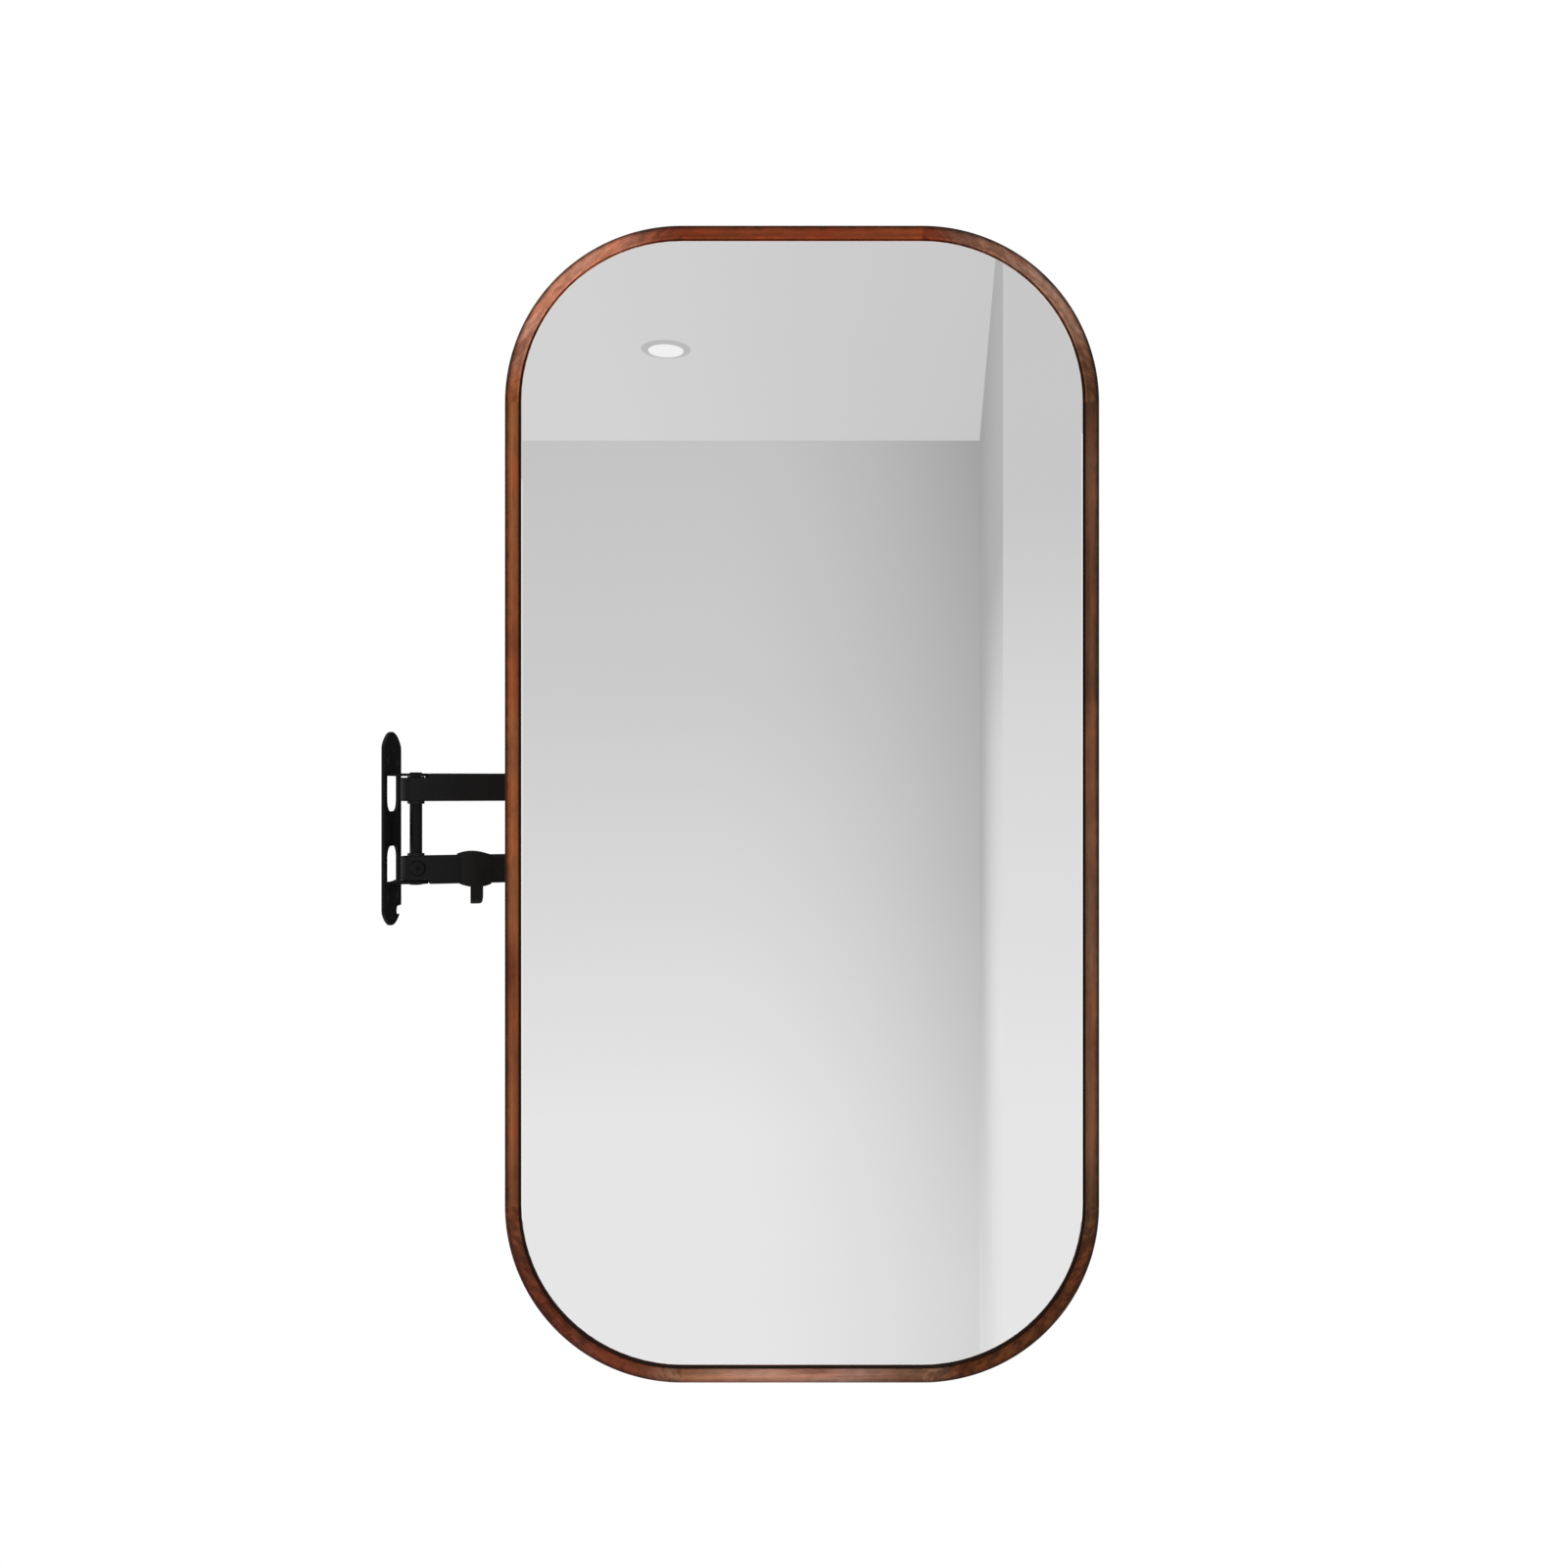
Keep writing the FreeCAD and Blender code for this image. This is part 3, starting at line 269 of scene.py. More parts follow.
zinc, tree = blank_material("zinc_plate")
place = object_place(tree)
haze = even_noise(tree, place, 260.0, 5.0, 0.65)
tint = even_noise(tree, place, 75.0, 2.0)
surface(tree, {
    "Base Color": colour_mix(tree, rescaled(tree, tint, 0.35, 0.65, 0.0, 1.0), ZINC_BLUISH, ZINC_STRAW),
    "Metallic": 0.65, "Roughness": rescaled(tree, haze, 0.3, 0.7, 0.30, 0.50),
    "Normal": bumped(tree, even_noise(tree, place, 2600.0, 2.0), 0.08, 0.0002),
})
put_on(zinc, "tilt_bolt", "tilt_nut", "mount_bolts", "t_nuts", "panel_screws")

# Back panel: birch plywood, sanded and sealed, let into the frame and screwed to its ledge. Its face
# veneer is peeled from the log, so the figure is broad and wavy along the height. The dowels are beech.

LEVEL_GRAIN = (0.0, 0.0, 0.0)
UPRIGHT_GRAIN = (0.0, math.radians(90.0), 0.0)
REDDISH_WOOD = (1.08, 0.94, 0.84, 1)
GREYISH_WOOD = (0.93, 1.06, 1.14, 1)
BIRCH = {
    "Early": (0.60, 0.44, 0.28, 1), "Late": (0.44, 0.29, 0.165, 1), "Pore": (0.30, 0.19, 0.10, 1),
    "Figure": 14.0, "Pores": 0.3, "Fleck": 0.1, "Patches": 0.2,
}
BEECH = {
    "Early": (0.62, 0.40, 0.24, 1), "Late": (0.50, 0.30, 0.16, 1), "Pore": (0.30, 0.16, 0.08, 1),
    "Figure": 120.0, "Pores": 0.4, "Fleck": 0.3, "Patches": 0.2,
}


def timber_group():
    """Timber along its own X axis: rings, streaks, pores, patches of tone and flecks across the grain."""
    group, given, result = effect_group(
        "timber",
        [("Vector", "Vector", None), ("Early", "Color", (0.3, 0.15, 0.07, 1)),
         ("Late", "Color", (0.1, 0.04, 0.02, 1)), ("Pore", "Color", (0.02, 0.008, 0.004, 1)),
         ("Figure", "Float", 55.0), ("Pores", "Float", 0.5), ("Fleck", "Float", 0.2),
         ("Patches", "Float", 1.0)],
        [("Colour", "Color"), ("Roughness", "Float"), ("Height", "Float")])
    place = given.outputs["Vector"]
    wander = noise(group, place, (3.0, 22.0, 22.0), 3.0)
    across = add_node(group, "SeparateXYZ", {"Vector": place})
    depth = calculated(group, "ADD", across.outputs["Y"],
                       calculated(group, "MULTIPLY", across.outputs["Z"], 0.6))
    ring = calculated(group, "ADD", calculated(group, "MULTIPLY", depth, given.outputs["Figure"]),
                      calculated(group, "MULTIPLY", wander, 5.0))
    band = calculated(group, "PINGPONG", ring, 1.0)
    broad = noise(group, place, (11.0, 330.0, 330.0), 3.0)
    fine = noise(group, place, (16.0, 1100.0, 1100.0), 4.0, 0.6)
    patch = noise(group, place, (26.0, 55.0, 55.0), 3.0)
    fleck = noise(group, place, (130.0, 240.0, 240.0), 3.0, 0.6)
    drift = noise(group, place, (7.0, 16.0, 16.0), 1.0)
    blotch = calculated(group, "ADD", calculated(group, "MULTIPLY", patch, 0.90),
                        calculated(group, "MULTIPLY", drift, 0.80))
    figure = 0.0
    for source, weight, middle in ((band, 0.20, 0.5), (broad, 0.60, 0.5), (fine, 0.30, 0.5),
                                   (fleck, given.outputs["Fleck"], 0.5),
                                   (blotch, given.outputs["Patches"], 0.85)):
        swing = calculated(group, "MULTIPLY", calculated(group, "SUBTRACT", source, middle), weight)
        figure = calculated(group, "ADD", figure, swing)
    share = rescaled(group, figure, -0.26, 0.26, 0.0, 1.0)
    tone = colour_mix(group, share, given.outputs["Early"], given.outputs["Late"])
    warmth = noise(group, place, (22.0, 70.0, 70.0), 2.0)
    tint = colour_mix(group, rescaled(group, warmth, 0.35, 0.65, 0.0, 1.0), REDDISH_WOOD, GREYISH_WOOD)
    tone = colour_mix(group, given.outputs["Patches"], tone, tint, "MULTIPLY")
    cells = add_node(group, "Mapping", {"Vector": place, "Scale": (85.0, 1700.0, 1700.0)})
    pore = add_node(group, "TexVoronoi", {"Vector": cells.outputs["Vector"], "Scale": 1.0,
                                          "Randomness": 1.0})
    open_pore = rescaled(group, pore.outputs["Distance"], 0.12, 0.34, 1.0, 0.0)
    open_pore = calculated(group, "MULTIPLY", open_pore, given.outputs["Pores"])
    group.links.new(colour_mix(group, open_pore, tone, given.outputs["Pore"]), result.inputs["Colour"])
    gloss = calculated(group, "ADD", rescaled(group, broad, 0.3, 0.7, 0.44, 0.58),
                       calculated(group, "MULTIPLY", open_pore, 0.25))
    group.links.new(gloss, result.inputs["Roughness"])
    relief = calculated(group, "SUBTRACT", calculated(group, "MULTIPLY", fine, 0.5), open_pore)
    group.links.new(relief, result.inputs["Height"])
    return group


timber = timber_group()


def sawn(tree, grain_turn, offset, values):
    """Timber in a material, its grain turned to run along the piece, from its own place in the plank."""
    along = add_node(tree, "Mapping", {"Vector": object_place(tree), "Location": offset,
                                       "Rotation": grain_turn})
    return add_node(tree, "Group", {"Vector": along.outputs["Vector"], **values}, node_tree=timber)


def pale_wood(name, grain_turn, values):
    """Sanded pale timber under a thin clear sealer."""
    material, tree = blank_material(name)
    wood = sawn(tree, grain_turn, (0.0, 0.0, 0.0), values)
    surface(tree, {
        "Base Color": wood.outputs["Colour"], "Roughness": wood.outputs["Roughness"],
        "Specular IOR Level": 0.3, "Normal": bumped(tree, wood.outputs["Height"], 0.3, 0.0003),
    })
    return material


put_on(pale_wood("birch_veneer", UPRIGHT_GRAIN, BIRCH), "back_panel")
put_on(pale_wood("beech", LEVEL_GRAIN, BEECH), "frame_dowels")

# Wooden frame: four rails and four corner blocks of hardwood, each from its own plank, dowelled end to end,
# then rounded, stained and oiled as one ring. In front each piece carries painted light and shade, run on
# over
# the joints: lighter top corners and foot rail, darker bottom corners and right rail, a painted shade on the
# outer arris, a painted highlight along each rail and painted light inside at the head. The sides and back
# share one stain tone.

FRAME_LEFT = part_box("rail_left")[0].x
FRAME_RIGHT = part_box("rail_right")[1].x
FRAME_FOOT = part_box("rail_bottom")[0].z
FRAME_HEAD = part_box("rail_top")[1].z
FRAME_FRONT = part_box("rail_left")[0].y
FRAME_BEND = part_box("rail_left")[0].z - FRAME_FOOT
FRAME_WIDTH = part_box("glass_gasket")[0].x - FRAME_LEFT
FRAME_WOOD = {
    "Early": (1.42, 1.46, 1.50, 1), "Late": (0.58, 0.54, 0.50, 1), "Pore": (0.15, 0.10, 0.08, 1),
    "Figure": 70.0, "Pores": 0.4, "Patches": 1.0,
}
LEVEL = 0.0
UPRIGHT = 90.0
CHORD = 45.0
LOW, HIGH = 0, 1
SHORT_RUN = 0.030
LONG_RUN = 0.055
FULL_RUN = 0.090
# Painted shade on the rounded outer arris, a painted highlight across the middle of each rail, then the
# inner edge's painted shade: pairs of share of the width and level.
RIM_SHADE_AND_HIGHLIGHT = ((0.0, 0.12), (0.17, 0.16), (0.32, 0.80), (0.52, 1.16), (0.86, 0.86))
INNER_EDGE_SHADE = 0.86
# Painted light on the inner side of the head rail and the two top corner blocks.
PAINTED_LIGHT_INNER_BLOCK = 1.7
PAINTED_LIGHT_INNER_RAIL = 2.0
ARRIS_DEPTH = (0.0025, 0.0050)
ARRIS_RAGGED = 0.0004
BODY_DEPTH = (0.004, 0.010)
BODY_SHARE = 0.8
BODY_TONE = (0.190, 0.060, 0.021, 1)
# Painted light and shade in front, one tone per piece: the top corners and the foot rail lighter, the bottom
# corners and the right rail darker.
LEFT_LIT_TONE = (0.231, 0.062, 0.018, 1)
LEFT_FOOT_SHADE_TONE = (0.180, 0.047, 0.014, 1)
RIGHT_SHADE_TONE = (0.150, 0.060, 0.027, 1)
RIGHT_END_SHADE_TONE = (0.094, 0.036, 0.013, 1)
TOP_SHADE_TONE = (0.181, 0.030, 0.006, 1)
FOOT_SHEEN_TONE = (0.372, 0.193, 0.140, 1)
FOOT_END_SHEEN_TONE = (0.268, 0.116, 0.063, 1)
TOP_LEFT_HIGHLIGHT_TONE = (0.485, 0.188, 0.115, 1)
TOP_RIGHT_HIGHLIGHT_TONE = (0.345, 0.160, 0.103, 1)
BOTTOM_LEFT_SHADE_TONE = (0.125, 0.027, 0.010, 1)
BOTTOM_RIGHT_SHADE_TONE = (0.096, 0.022, 0.004, 1)
FRAME_PIECES = {
    "rail_left": dict(
        turn=UPRIGHT, plank=0.03, fleck=0.10, arris=1.0, inner=INNER_EDGE_SHADE, tone=LEFT_LIT_TONE,
        runs=[("z", LOW, LEFT_FOOT_SHADE_TONE, LONG_RUN)]),
    "rail_right": dict(
        turn=UPRIGHT, plank=0.19, fleck=0.10, arris=0.9, inner=INNER_EDGE_SHADE, tone=RIGHT_SHADE_TONE,
        runs=[("z", LOW, RIGHT_END_SHADE_TONE, LONG_RUN), ("z", HIGH, RIGHT_END_SHADE_TONE, LONG_RUN)]),
    "rail_top": dict(
        turn=LEVEL, plank=0.35, fleck=0.05, arris=1.0, inner=PAINTED_LIGHT_INNER_RAIL, tone=TOP_SHADE_TONE,
        runs=[]),
    "rail_bottom": dict(
        turn=LEVEL, plank=0.53, fleck=0.40, arris=0.6, inner=INNER_EDGE_SHADE, tone=FOOT_SHEEN_TONE,
        runs=[("x", LOW, FOOT_END_SHEEN_TONE, LONG_RUN), ("x", HIGH, FOOT_END_SHEEN_TONE, LONG_RUN)]),
    "corner_top_left": dict(
        turn=CHORD, plank=0.62, fleck=0.8, arris=1.0, inner=PAINTED_LIGHT_INNER_BLOCK, tone=TOP_LEFT_HIGHLIGHT_TONE,
        runs=[("z", LOW, LEFT_LIT_TONE, LONG_RUN), ("x", HIGH, TOP_SHADE_TONE, LONG_RUN)]),
    "corner_top_right": dict(
        turn=-CHORD, plank=0.89, fleck=1.0, arris=1.0, inner=PAINTED_LIGHT_INNER_BLOCK, tone=TOP_RIGHT_HIGHLIGHT_TONE,
        runs=[("z", LOW, RIGHT_END_SHADE_TONE, FULL_RUN), ("x", LOW, TOP_SHADE_TONE, LONG_RUN)]),
    "corner_bottom_left": dict(
        turn=-CHORD, plank=1.07, fleck=2.0, arris=0.7, inner=INNER_EDGE_SHADE, tone=BOTTOM_LEFT_SHADE_TONE,
        runs=[("z", HIGH, LEFT_FOOT_SHADE_TONE, LONG_RUN), ("x", HIGH, FOOT_END_SHEEN_TONE, SHORT_RUN)]),
    "corner_bottom_right": dict(
        turn=CHORD, plank=0.24, fleck=2.4, arris=0.7, inner=INNER_EDGE_SHADE, tone=BOTTOM_RIGHT_SHADE_TONE,
        runs=[("z", HIGH, RIGHT_END_SHADE_TONE, LONG_RUN), ("x", LOW, FOOT_END_SHEEN_TONE, SHORT_RUN)]),
}


def frame_inset_group():
    """Distance in from the frame's rounded outline, in metres."""
    group, given, result = effect_group("frame_inset", [("Vector", "Vector", None)], [("Inset", "Float")])
    parts = add_node(group, "SeparateXYZ", {"Vector": given.outputs["Vector"]})
    past = []
    for axis, low, high in (("X", FRAME_LEFT, FRAME_RIGHT), ("Z", FRAME_FOOT, FRAME_HEAD)):
        from_middle = calculated(group, "SUBTRACT", parts.outputs[axis], (low + high) / 2)
        out = calculated(group, "ABSOLUTE", from_middle, 0.0)
        past.append(calculated(group, "SUBTRACT", out, (high - low) / 2 - FRAME_BEND))
    bend = add_node(group, "CombineXYZ", {"X": calculated(group, "MAXIMUM", past[0], 0.0),
                                          "Z": calculated(group, "MAXIMUM", past[1], 0.0)})
    reach = add_node(group, "VectorMath", {0: bend.outputs[0]}, operation="LENGTH").outputs["Value"]
    straight = calculated(group, "MINIMUM", calculated(group, "MAXIMUM", past[0], past[1]), 0.0)
    inset = calculated(group, "SUBTRACT", FRAME_BEND, calculated(group, "ADD", reach, straight))
    group.links.new(inset, result.inputs["Inset"])
    return group


frame_inset = frame_inset_group()


def ramp_of(tree, value, stops):
    """A colour set by stops of place and colour along a value."""
    ramp = add_node(tree, "ValToRGB", {"Fac": value})
    while len(ramp.color_ramp.elements) < len(stops):
        ramp.color_ramp.elements.new(1.0)
    for element, (at, colour) in zip(ramp.color_ramp.elements, stops):
        element.position = at
        element.color = colour
    return ramp.outputs["Color"]


def run_on(tree, parts, piece, tone, runs):
    """A piece's painted light and shade tone, with its neighbours' painted tones run in from the low or high
    end along an axis.
    """
    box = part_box(piece)
    for axis, end, other, length in runs:
        joint = getattr(box[end], axis)
        reach = joint - length if end == HIGH else joint + length
        share = rescaled(tree, parts.outputs[axis.upper()], joint, reach, 0.0, 1.0, True)
        tone = colour_mix(tree, share, other, tone)
    return tone


def stained_wood(piece, turn, plank, fleck, arris, inner, tone, runs):
    """Stained and oiled hardwood for one piece of the frame, with painted light and shade on its front."""
    material, tree = blank_material("stained_" + piece)
    wood = sawn(tree, (0.0, math.radians(turn), 0.0), (plank, plank, plank), {**FRAME_WOOD, "Fleck": fleck})
    place = object_place(tree)
    parts = add_node(tree, "SeparateXYZ", {"Vector": place})
    depth = calculated(tree, "SUBTRACT", parts.outputs["Y"], FRAME_FRONT)
    body = rescaled(tree, depth, *BODY_DEPTH, 0.0, BODY_SHARE, True)
    # In front, the piece's painted light and shade; deeper in, the real stain tone shared by the sides and
    # back.
    stain_and_light = colour_mix(tree, body, run_on(tree, parts, piece, tone, runs), BODY_TONE)
    colour = colour_mix(tree, 1.0, wood.outputs["Colour"], stain_and_light, "MULTIPLY")
    rim = add_node(tree, "Group", {"Vector": place}, node_tree=frame_inset)
    ragged = rescaled(tree, even_noise(tree, place, 160.0, 3.0), 0.3, 0.7, -ARRIS_RAGGED, ARRIS_RAGGED)
    inset = calculated(tree, "ADD", rim.outputs["Inset"], ragged)
    # Painted shade on the outer arris and a painted highlight across the rail, by distance in from the
    # outline.
    shade = ramp_of(tree, rescaled(tree, inset, 0.0, FRAME_WIDTH, 0.0, 1.0),
                    [(at, (level, level, level, 1)) for at, level in RIM_SHADE_AND_HIGHLIGHT + ((1.0, inner),)])
    shaded = colour_mix(tree, 1.0, colour, shade, "MULTIPLY")
    near_front = rescaled(tree, depth, *ARRIS_DEPTH, arris, 0.0, True)
    surface(tree, {
        "Base Color": colour_mix(tree, near_front, colour, shaded),
        "Roughness": wood.outputs["Roughness"], "Specular IOR Level": 0.12,
        "Normal": bumped(tree, wood.outputs["Height"], 0.3, 0.0003),
    })
    return material


for piece, finish in FRAME_PIECES.items():
    put_on(stained_wood(piece, **finish), piece)

# Mirror pane: float glass silvered on its back, with a polished bevel round its front. It is taped to the
# frame's ledge. A wiped haze shows only as a slight change of gloss, and polishing has rolled the bevel
# towards the front, so it catches the light as a thin line.

BEVEL_ROLL = 0.5
SILVER = (0.930, 0.932, 0.931, 1)
SILVER_WIPED = (0.946, 0.948, 0.947, 1)

silvered, tree = blank_material("silvered_glass")
haze = noise(tree, object_place(tree), (4.8, 1.6, 22.0), 5.0)
facing = add_node(tree, "VectorMath", {0: add_node(tree, "TexCoord").outputs["Normal"],
                                       1: (BEVEL_ROLL, 1.0, BEVEL_ROLL)}, operation="MULTIPLY")
rolled = add_node(tree, "VectorTransform", {"Vector": facing.outputs["Vector"]}, vector_type="NORMAL",
                  convert_from="OBJECT", convert_to="WORLD")
surface(tree, {
    "Base Color": colour_mix(tree, haze, SILVER, SILVER_WIPED),
    "Metallic": 1.0, "Roughness": rescaled(tree, haze, 0.4, 0.75, 0.004, 0.018),
    "Normal": rolled.outputs["Vector"],
})
put_on(silvered, "mirror_glass")

# Gasket and tape: an extruded brown-black rubber strip pushed in round the pane, with a faint bloom, and
# a ring of pale acrylic tape that sticks the pane to the ledge.

RUBBER_BLACK = (0.013, 0.007, 0.004, 1)
RUBBER_BLOOM = (0.022, 0.012, 0.008, 1)
TAPE_GREY = (0.48, 0.48, 0.46, 1)
TAPE_BUBBLE = (0.60, 0.60, 0.58, 1)

rubber, tree = blank_material("black_rubber")
place = object_place(tree)
bloom = even_noise(tree, place, 420.0, 4.0)
surface(tree, {
    "Base Color": colour_mix(tree, bloom, RUBBER_BLACK, RUBBER_BLOOM),
    "Roughness": rescaled(tree, bloom, 0.3, 0.7, 0.75, 0.92), "Specular IOR Level": 0.2,
    "Normal": bumped(tree, bloom, 0.2, 0.0002),
})
put_on(rubber, "glass_gasket")

tape, tree = blank_material("acrylic_tape")
place = object_place(tree)
bubble = even_noise(tree, place, 900.0, 3.0)
surface(tree, {
    "Base Color": colour_mix(tree, bubble, TAPE_GREY, TAPE_BUBBLE),
    "Roughness": rescaled(tree, bubble, 0.3, 0.7, 0.5, 0.7), "Normal": bumped(tree, bubble, 0.2, 0.0002),
})
put_on(tape, "mirror_tape")

# Foam pads: six blocks of pale closed-cell foam, die cut and lightly squeezed between the pane and the
# panel, so their sides belly out between the two flat faces.

PAD_SIZE = 0.050
PAD_CORNER = 0.004
PAD_CUTS = (-0.25, 0.0, 0.25)
PAD_FACE_AT = 0.4
PAD_FACE_SHARE = 0.96
PAD_SHOULDER_AT = 0.1
PAD_SHOULDER_SHARE = 0.988
FOAM_CELL = (0.70, 0.70, 0.68, 1)
FOAM_CELL_WALL = (0.52, 0.52, 0.50, 1)
FOAM_CELLS = 900.0

foam, tree = blank_material("closed_cell_foam")
cell = add_node(tree, "TexVoronoi", {"Vector": object_place(tree), "Scale": FOAM_CELLS}).outputs["Distance"]
surface(tree, {
    "Base Color": colour_mix(tree, cell, FOAM_CELL, FOAM_CELL_WALL),
    "Roughness": rescaled(tree, cell, 0.0, 0.8, 0.75, 0.95), "Normal": bumped(tree, cell, 0.4, 0.0006),
})

pad_low, pad_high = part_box("glass_pads")
pad_depth = pad_high.y - pad_low.y
pads = bmesh.new()
for pad_x in (pad_low.x + PAD_SIZE / 2, pad_high.x - PAD_SIZE / 2):
    for pad_z in (pad_low.z + PAD_SIZE / 2, (pad_low.z + pad_high.z) / 2, pad_high.z - PAD_SIZE / 2):
        middle = Vector((pad_x, (pad_low.y + pad_high.y) / 2, pad_z))
        block = bmesh.new()
        bmesh.ops.create_cube(block, size=1.0)
        bmesh.ops.scale(block, vec=(PAD_SIZE, pad_depth, PAD_SIZE), verts=block.verts)
        corners = [edge for edge in block.edges
                   if abs(edge.verts[0].co.y - edge.verts[1].co.y) > pad_depth / 2]
        bmesh.ops.bevel(block, geom=corners, offset=PAD_CORNER, affect="EDGES", segments=4, profile=0.5,
                        material=-1)
        for level in PAD_CUTS:
            bmesh.ops.bisect_plane(block, geom=block.verts[:] + block.edges[:] + block.faces[:],
                                   plane_co=(0.0, level * pad_depth, 0.0), plane_no=(0.0, 1.0, 0.0))
        for vert in block.verts:
            height = abs(vert.co.y) / pad_depth
            share = 1.0
            if height > PAD_FACE_AT:
                share = PAD_FACE_SHARE
            elif height > PAD_SHOULDER_AT:
                share = PAD_SHOULDER_SHARE
            vert.co.x *= share
            vert.co.z *= share
        bmesh.ops.translate(block, vec=middle, verts=block.verts)
        done = bpy.data.meshes.new("pad")
        block.to_mesh(done)
        block.free()
        pads.from_mesh(done)
        bpy.data.meshes.remove(done)
pads_mesh = bpy.data.meshes.new("foam_pads")
pads.to_mesh(pads_mesh)
pads.free()
pads_mesh.materials.append(foam)
foam_pads = bpy.data.objects.new("foam_pads", pads_mesh)
bpy.context.collection.objects.link(foam_pads)
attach(foam_pads, "mirror")
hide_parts("glass_pads")

# Room that the pane reflects: a back wall, a ceiling with an oval downlight, and a nearer wall to the right.
# They are painted sheets that only show in reflections. The walls are lit from below and from the left, so
# their shade deepens towards the ceiling and the corner; shades are pairs of place and screen level.

ROOM_TOP = 1.153
ROOM_BACK = -4.0
ROOM_FLOOR = -2.4
ROOM_SIDE = 4.0
CORNER_X = 0.9293
NEAR_WALL_X = 0.693
NEAR_WALL_Y = -1.825
CEILING_FRONT = -0.7
PANE_LOSS = 1.065
BACK_SHADES = ((-1.1, 230), (0.35, 203), (1.15, 196))
BACK_CORNER_SHADES = ((-1.6, 211), (-0.3, 185), (1.15, 162))
BACK_CORNER_BEND = 2.0
SIDE_CORNER_SHADES = ((-1.6, 218), (-0.3, 179), (1.15, 161))
SIDE_SHADES = ((-0.45, 230), (0.12, 214), (0.48, 179))
SIDE_RUN_PAST = 0.22
NEAR_SHADES = ((-0.6, 230), (0.12, 216), (0.56, 199))
CEILING_SHADES = ((-0.2, 211), (0.95, 198))
DOWNLIGHT = Vector((-0.0127, -2.949, ROOM_TOP - 0.002))
DOWNLIGHT_OVAL = Matrix.Diagonal((1.0, 1.31, 1.0, 1.0))
TRIM_RADIUS = 0.064
TRIM_LEVEL = 187
LENS_RADIUS = 0.0455
LENS_LEVEL = 241
LENS_DROP = 0.004


def reflected_only(piece):
    """A stage piece that only reflections see."""
    piece.visible_camera = False
    piece.visible_diffuse = False
    piece.visible_shadow = False
    piece.visible_transmission = False
    piece.visible_volume_scatter = False


def stage_piece(name, shape, material):
    """A finished stage object made from a bmesh."""
    mesh = bpy.data.meshes.new(name)
    shape.to_mesh(mesh)
    shape.free()
    mesh.materials.append(material)
    piece = bpy.data.objects.new(name, mesh)
    bpy.context.collection.objects.link(piece)
    return piece


def room_sheet(name, corners, material):
    """One flat side of the room."""
    shape = bmesh.new()
    shape.faces.new([shape.verts.new(corner) for corner in corners])
    reflected_only(stage_piece(name, shape, material))


def room_wall(name, left, right, material):
    """One wall of the room, between two corners in plan."""
    room_sheet(name, [(*left, ROOM_FLOOR), (*right, ROOM_FLOOR), (*right, ROOM_TOP), (*left, ROOM_TOP)],
               material)


def grey(level):
    """A neutral colour from its screen level of 0 to 255."""
    linear = ((level / 255 + 0.055) / 1.055) ** 2.4
    return (linear, linear, linear, 1)


def shade_ramp(tree, value, stops):
    """A neutral shade set by stops along a value."""
    low, high = stops[0][0], stops[-1][0]
    return ramp_of(tree, rescaled(tree, value, low, high, 0.0, 1.0),
                   [((at - low) / (high - low), grey(level)) for at, level in stops])


def glowing(name):
    """Glowing paint for a stage piece: its material, tree and light."""
    material, tree = blank_material(name)
    glow = add_node(tree, "Emission", {"Strength": PANE_LOSS})
    add_node(tree, "OutputMaterial", {"Surface": glow.outputs[0]})
    return material, tree, glow


def wall_paint(name, stops, end_stops, run, start, end, bend=None):
    """Paint whose shade follows its height, and turns to the wall's end shade along it, evenly or late."""
    material, tree, glow = glowing(name)
    parts = add_node(tree, "SeparateXYZ", {"Vector": object_place(tree)})
    share = rescaled(tree, parts.outputs[run], start, end, 0.0, 1.0, bend is None)
    if bend:
        share = calculated(tree, "POWER", share, bend)
    colour = colour_mix(tree, share, shade_ramp(tree, parts.outputs["Z"], stops),
                        shade_ramp(tree, parts.outputs["Z"], end_stops))
    tree.links.new(colour, glow.inputs["Color"])
    return material


def level_paint(name, stops, axis):
    """Paint whose shade follows one axis only."""
    material, tree, glow = glowing(name)
    parts = add_node(tree, "SeparateXYZ", {"Vector": object_place(tree)})
    tree.links.new(shade_ramp(tree, parts.outputs[axis], stops), glow.inputs["Color"])
    return material


back_paint = wall_paint("back_wall_paint", BACK_SHADES, BACK_CORNER_SHADES, "X", 0.0, CORNER_X,
                        BACK_CORNER_BEND)
side_paint = wall_paint("side_wall_paint", SIDE_CORNER_SHADES, SIDE_SHADES, "Y", ROOM_BACK,
                        NEAR_WALL_Y + SIDE_RUN_PAST)
near_paint = level_paint("near_wall_paint", NEAR_SHADES, "Z")
ceiling_paint = level_paint("ceiling_paint", CEILING_SHADES, "X")
back_corner = (CORNER_X, ROOM_BACK)
near_corner = (NEAR_WALL_X, NEAR_WALL_Y)
room_wall("room_back_wall", (-ROOM_SIDE, ROOM_BACK), back_corner, back_paint)
room_wall("room_side_wall", back_corner, near_corner, side_paint)
room_wall("room_near_wall", near_corner, (ROOM_SIDE, NEAR_WALL_Y), near_paint)
room_sheet("room_ceiling", [(-ROOM_SIDE, ROOM_BACK, ROOM_TOP), (ROOM_SIDE, ROOM_BACK, ROOM_TOP),
                            (ROOM_SIDE, CEILING_FRONT, ROOM_TOP), (-ROOM_SIDE, CEILING_FRONT, ROOM_TOP)],
           ceiling_paint)

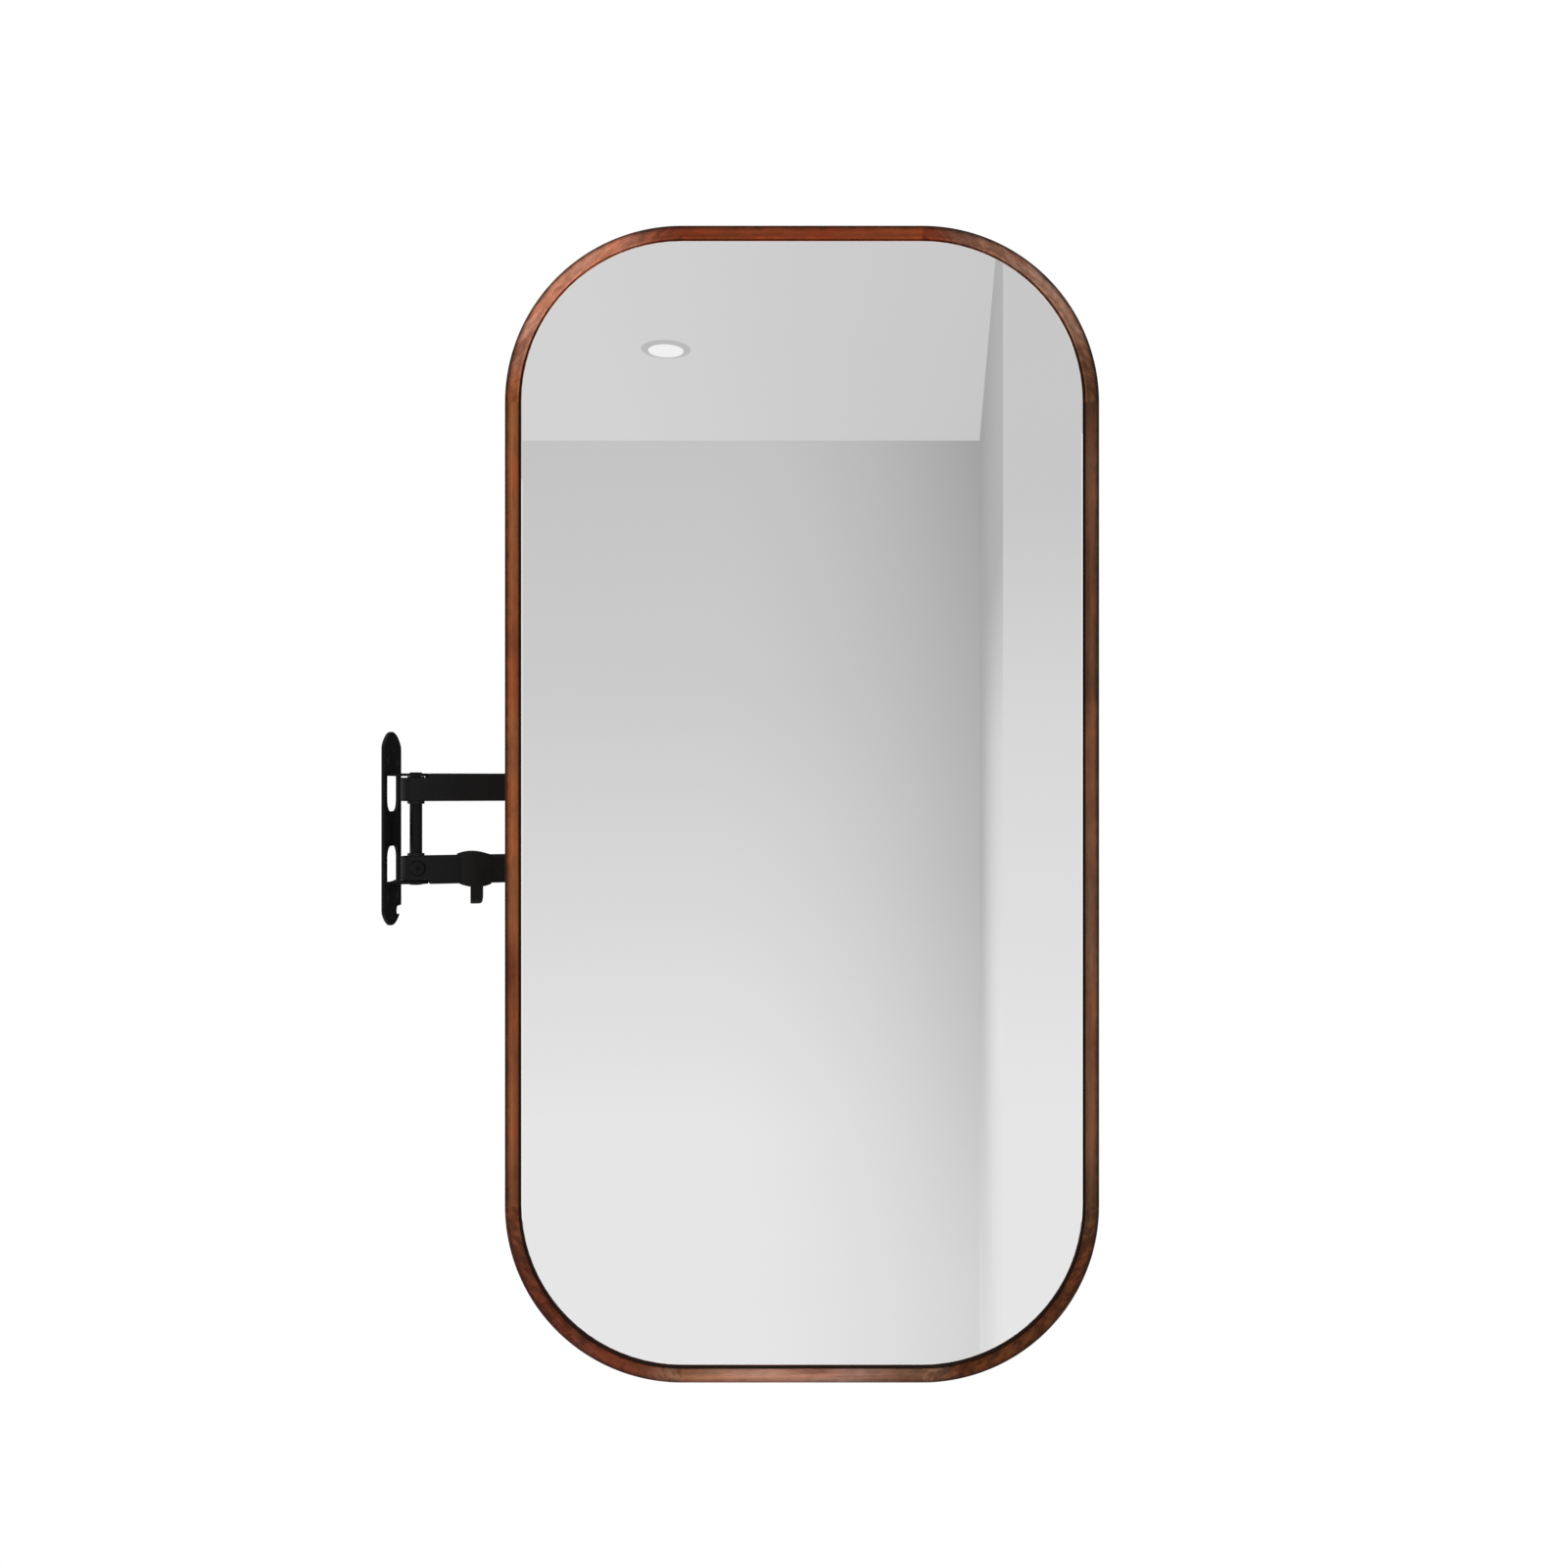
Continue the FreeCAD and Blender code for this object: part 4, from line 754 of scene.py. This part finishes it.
for name, radius, drop, level in (("room_downlight_trim", TRIM_RADIUS, 0.0, TRIM_LEVEL),
                                  ("room_downlight_lens", LENS_RADIUS, LENS_DROP, LENS_LEVEL)):
    shape = bmesh.new()
    bmesh.ops.create_circle(shape, cap_ends=True, segments=48, radius=radius,
                            matrix=Matrix.Translation(DOWNLIGHT - Vector((0, 0, drop))) @ DOWNLIGHT_OVAL)
    material, tree, glow = glowing(name + "_paint")
    glow.inputs["Color"].default_value = grey(level)
    reflected_only(stage_piece(name, shape, material))

# Studio: a pale floor well below the mirror, soft lamps and an even white surround. A dull black screen
# behind the object, which only reflections see, keeps the edges of the dark metal and the wood dark. The
# camera looks level and square at the mirror.

FLOOR_Z = -1.4
FLOOR_CORNERS = ((-2.7, -2.45), (3.3, -2.45), (3.3, 1.55), (-2.7, 1.55))
FLOOR_SCUFF = (0.90, 0.90, 0.90, 1)
FLOOR_WHITE = (0.93, 0.93, 0.93, 1)
SCREEN_Y = 1.3
SCREEN_CORNERS = ((-1.6, -1.3), (2.2, -1.3), (2.2, 1.5), (-1.6, 1.5))
SCREEN_BLACK = (0.004, 0.004, 0.004, 1)
SCREEN_WEAVE = (0.008, 0.008, 0.008, 1)
LAMP_TARGET = (0.28, -0.05, 0.0)
SURROUND_LIGHT = 0.5
CAMERA_PLACE = (0.2912, -1.1275, 0.0329)
CAMERA_LENS = 35.0
CAMERA_SENSOR = 36.0

floor_paint, tree = blank_material("floor_paint")
scuff = even_noise(tree, object_place(tree), 6.0, 4.0)
surface(tree, {
    "Base Color": colour_mix(tree, scuff, FLOOR_SCUFF, FLOOR_WHITE),
    "Roughness": 0.8, "Specular IOR Level": 0.1,
})
shape = bmesh.new()
shape.faces.new([shape.verts.new((x, y, FLOOR_Z)) for x, y in FLOOR_CORNERS])
stage_piece("studio_floor", shape, floor_paint)

screen_cloth, tree = blank_material("screen_cloth")
weave = even_noise(tree, object_place(tree), 400.0, 2.0)
surface(tree, {
    "Base Color": colour_mix(tree, weave, SCREEN_BLACK, SCREEN_WEAVE),
    "Roughness": 0.95, "Specular IOR Level": 0.0,
})
room_sheet("studio_screen", [(x, SCREEN_Y, z) for x, z in SCREEN_CORNERS], screen_cloth)


def soft_lamp(name, place, size, power):
    """A square soft box aimed at the object, not seen in reflections."""
    lamp = bpy.data.lights.new(name, "AREA")
    lamp.size = size
    lamp.energy = power
    holder = bpy.data.objects.new(name, lamp)
    holder.location = place
    holder.rotation_euler = (Vector(LAMP_TARGET) - Vector(place)).to_track_quat("-Z", "Y").to_euler()
    holder.visible_glossy = False
    bpy.context.collection.objects.link(holder)


soft_lamp("key_lamp", place=(-1.5, -1.3, 1.7), size=1.2, power=34.0)
soft_lamp("fill_lamp", place=(2.1, -1.4, 0.3), size=1.4, power=12.0)
soft_lamp("back_lamp", place=(0.4, 2.2, 1.2), size=1.6, power=26.0)

world = bpy.data.worlds.new("studio")
world.use_nodes = True
tree = world.node_tree
tree.nodes.clear()
ray = add_node(tree, "LightPath")
seen = calculated(tree, "MAXIMUM", ray.outputs["Is Camera Ray"], ray.outputs["Is Glossy Ray"])
seen = calculated(tree, "MAXIMUM", seen, ray.outputs["Is Transmission Ray"])
sky = add_node(tree, "Background", {"Color": (1, 1, 1, 1),
                                    "Strength": rescaled(tree, seen, 0.0, 1.0, SURROUND_LIGHT, 1.0)})
add_node(tree, "OutputWorld", {"Surface": sky.outputs[0]})
bpy.context.scene.world = world
bpy.context.scene.view_settings.view_transform = "Standard"

camera = bpy.data.cameras.new("camera")
camera.lens = CAMERA_LENS
camera.sensor_width = CAMERA_SENSOR
viewer = bpy.data.objects.new("camera", camera)
viewer.location = CAMERA_PLACE
viewer.rotation_euler = (math.radians(90.0), 0.0, 0.0)
bpy.context.collection.objects.link(viewer)
bpy.context.scene.camera = viewer
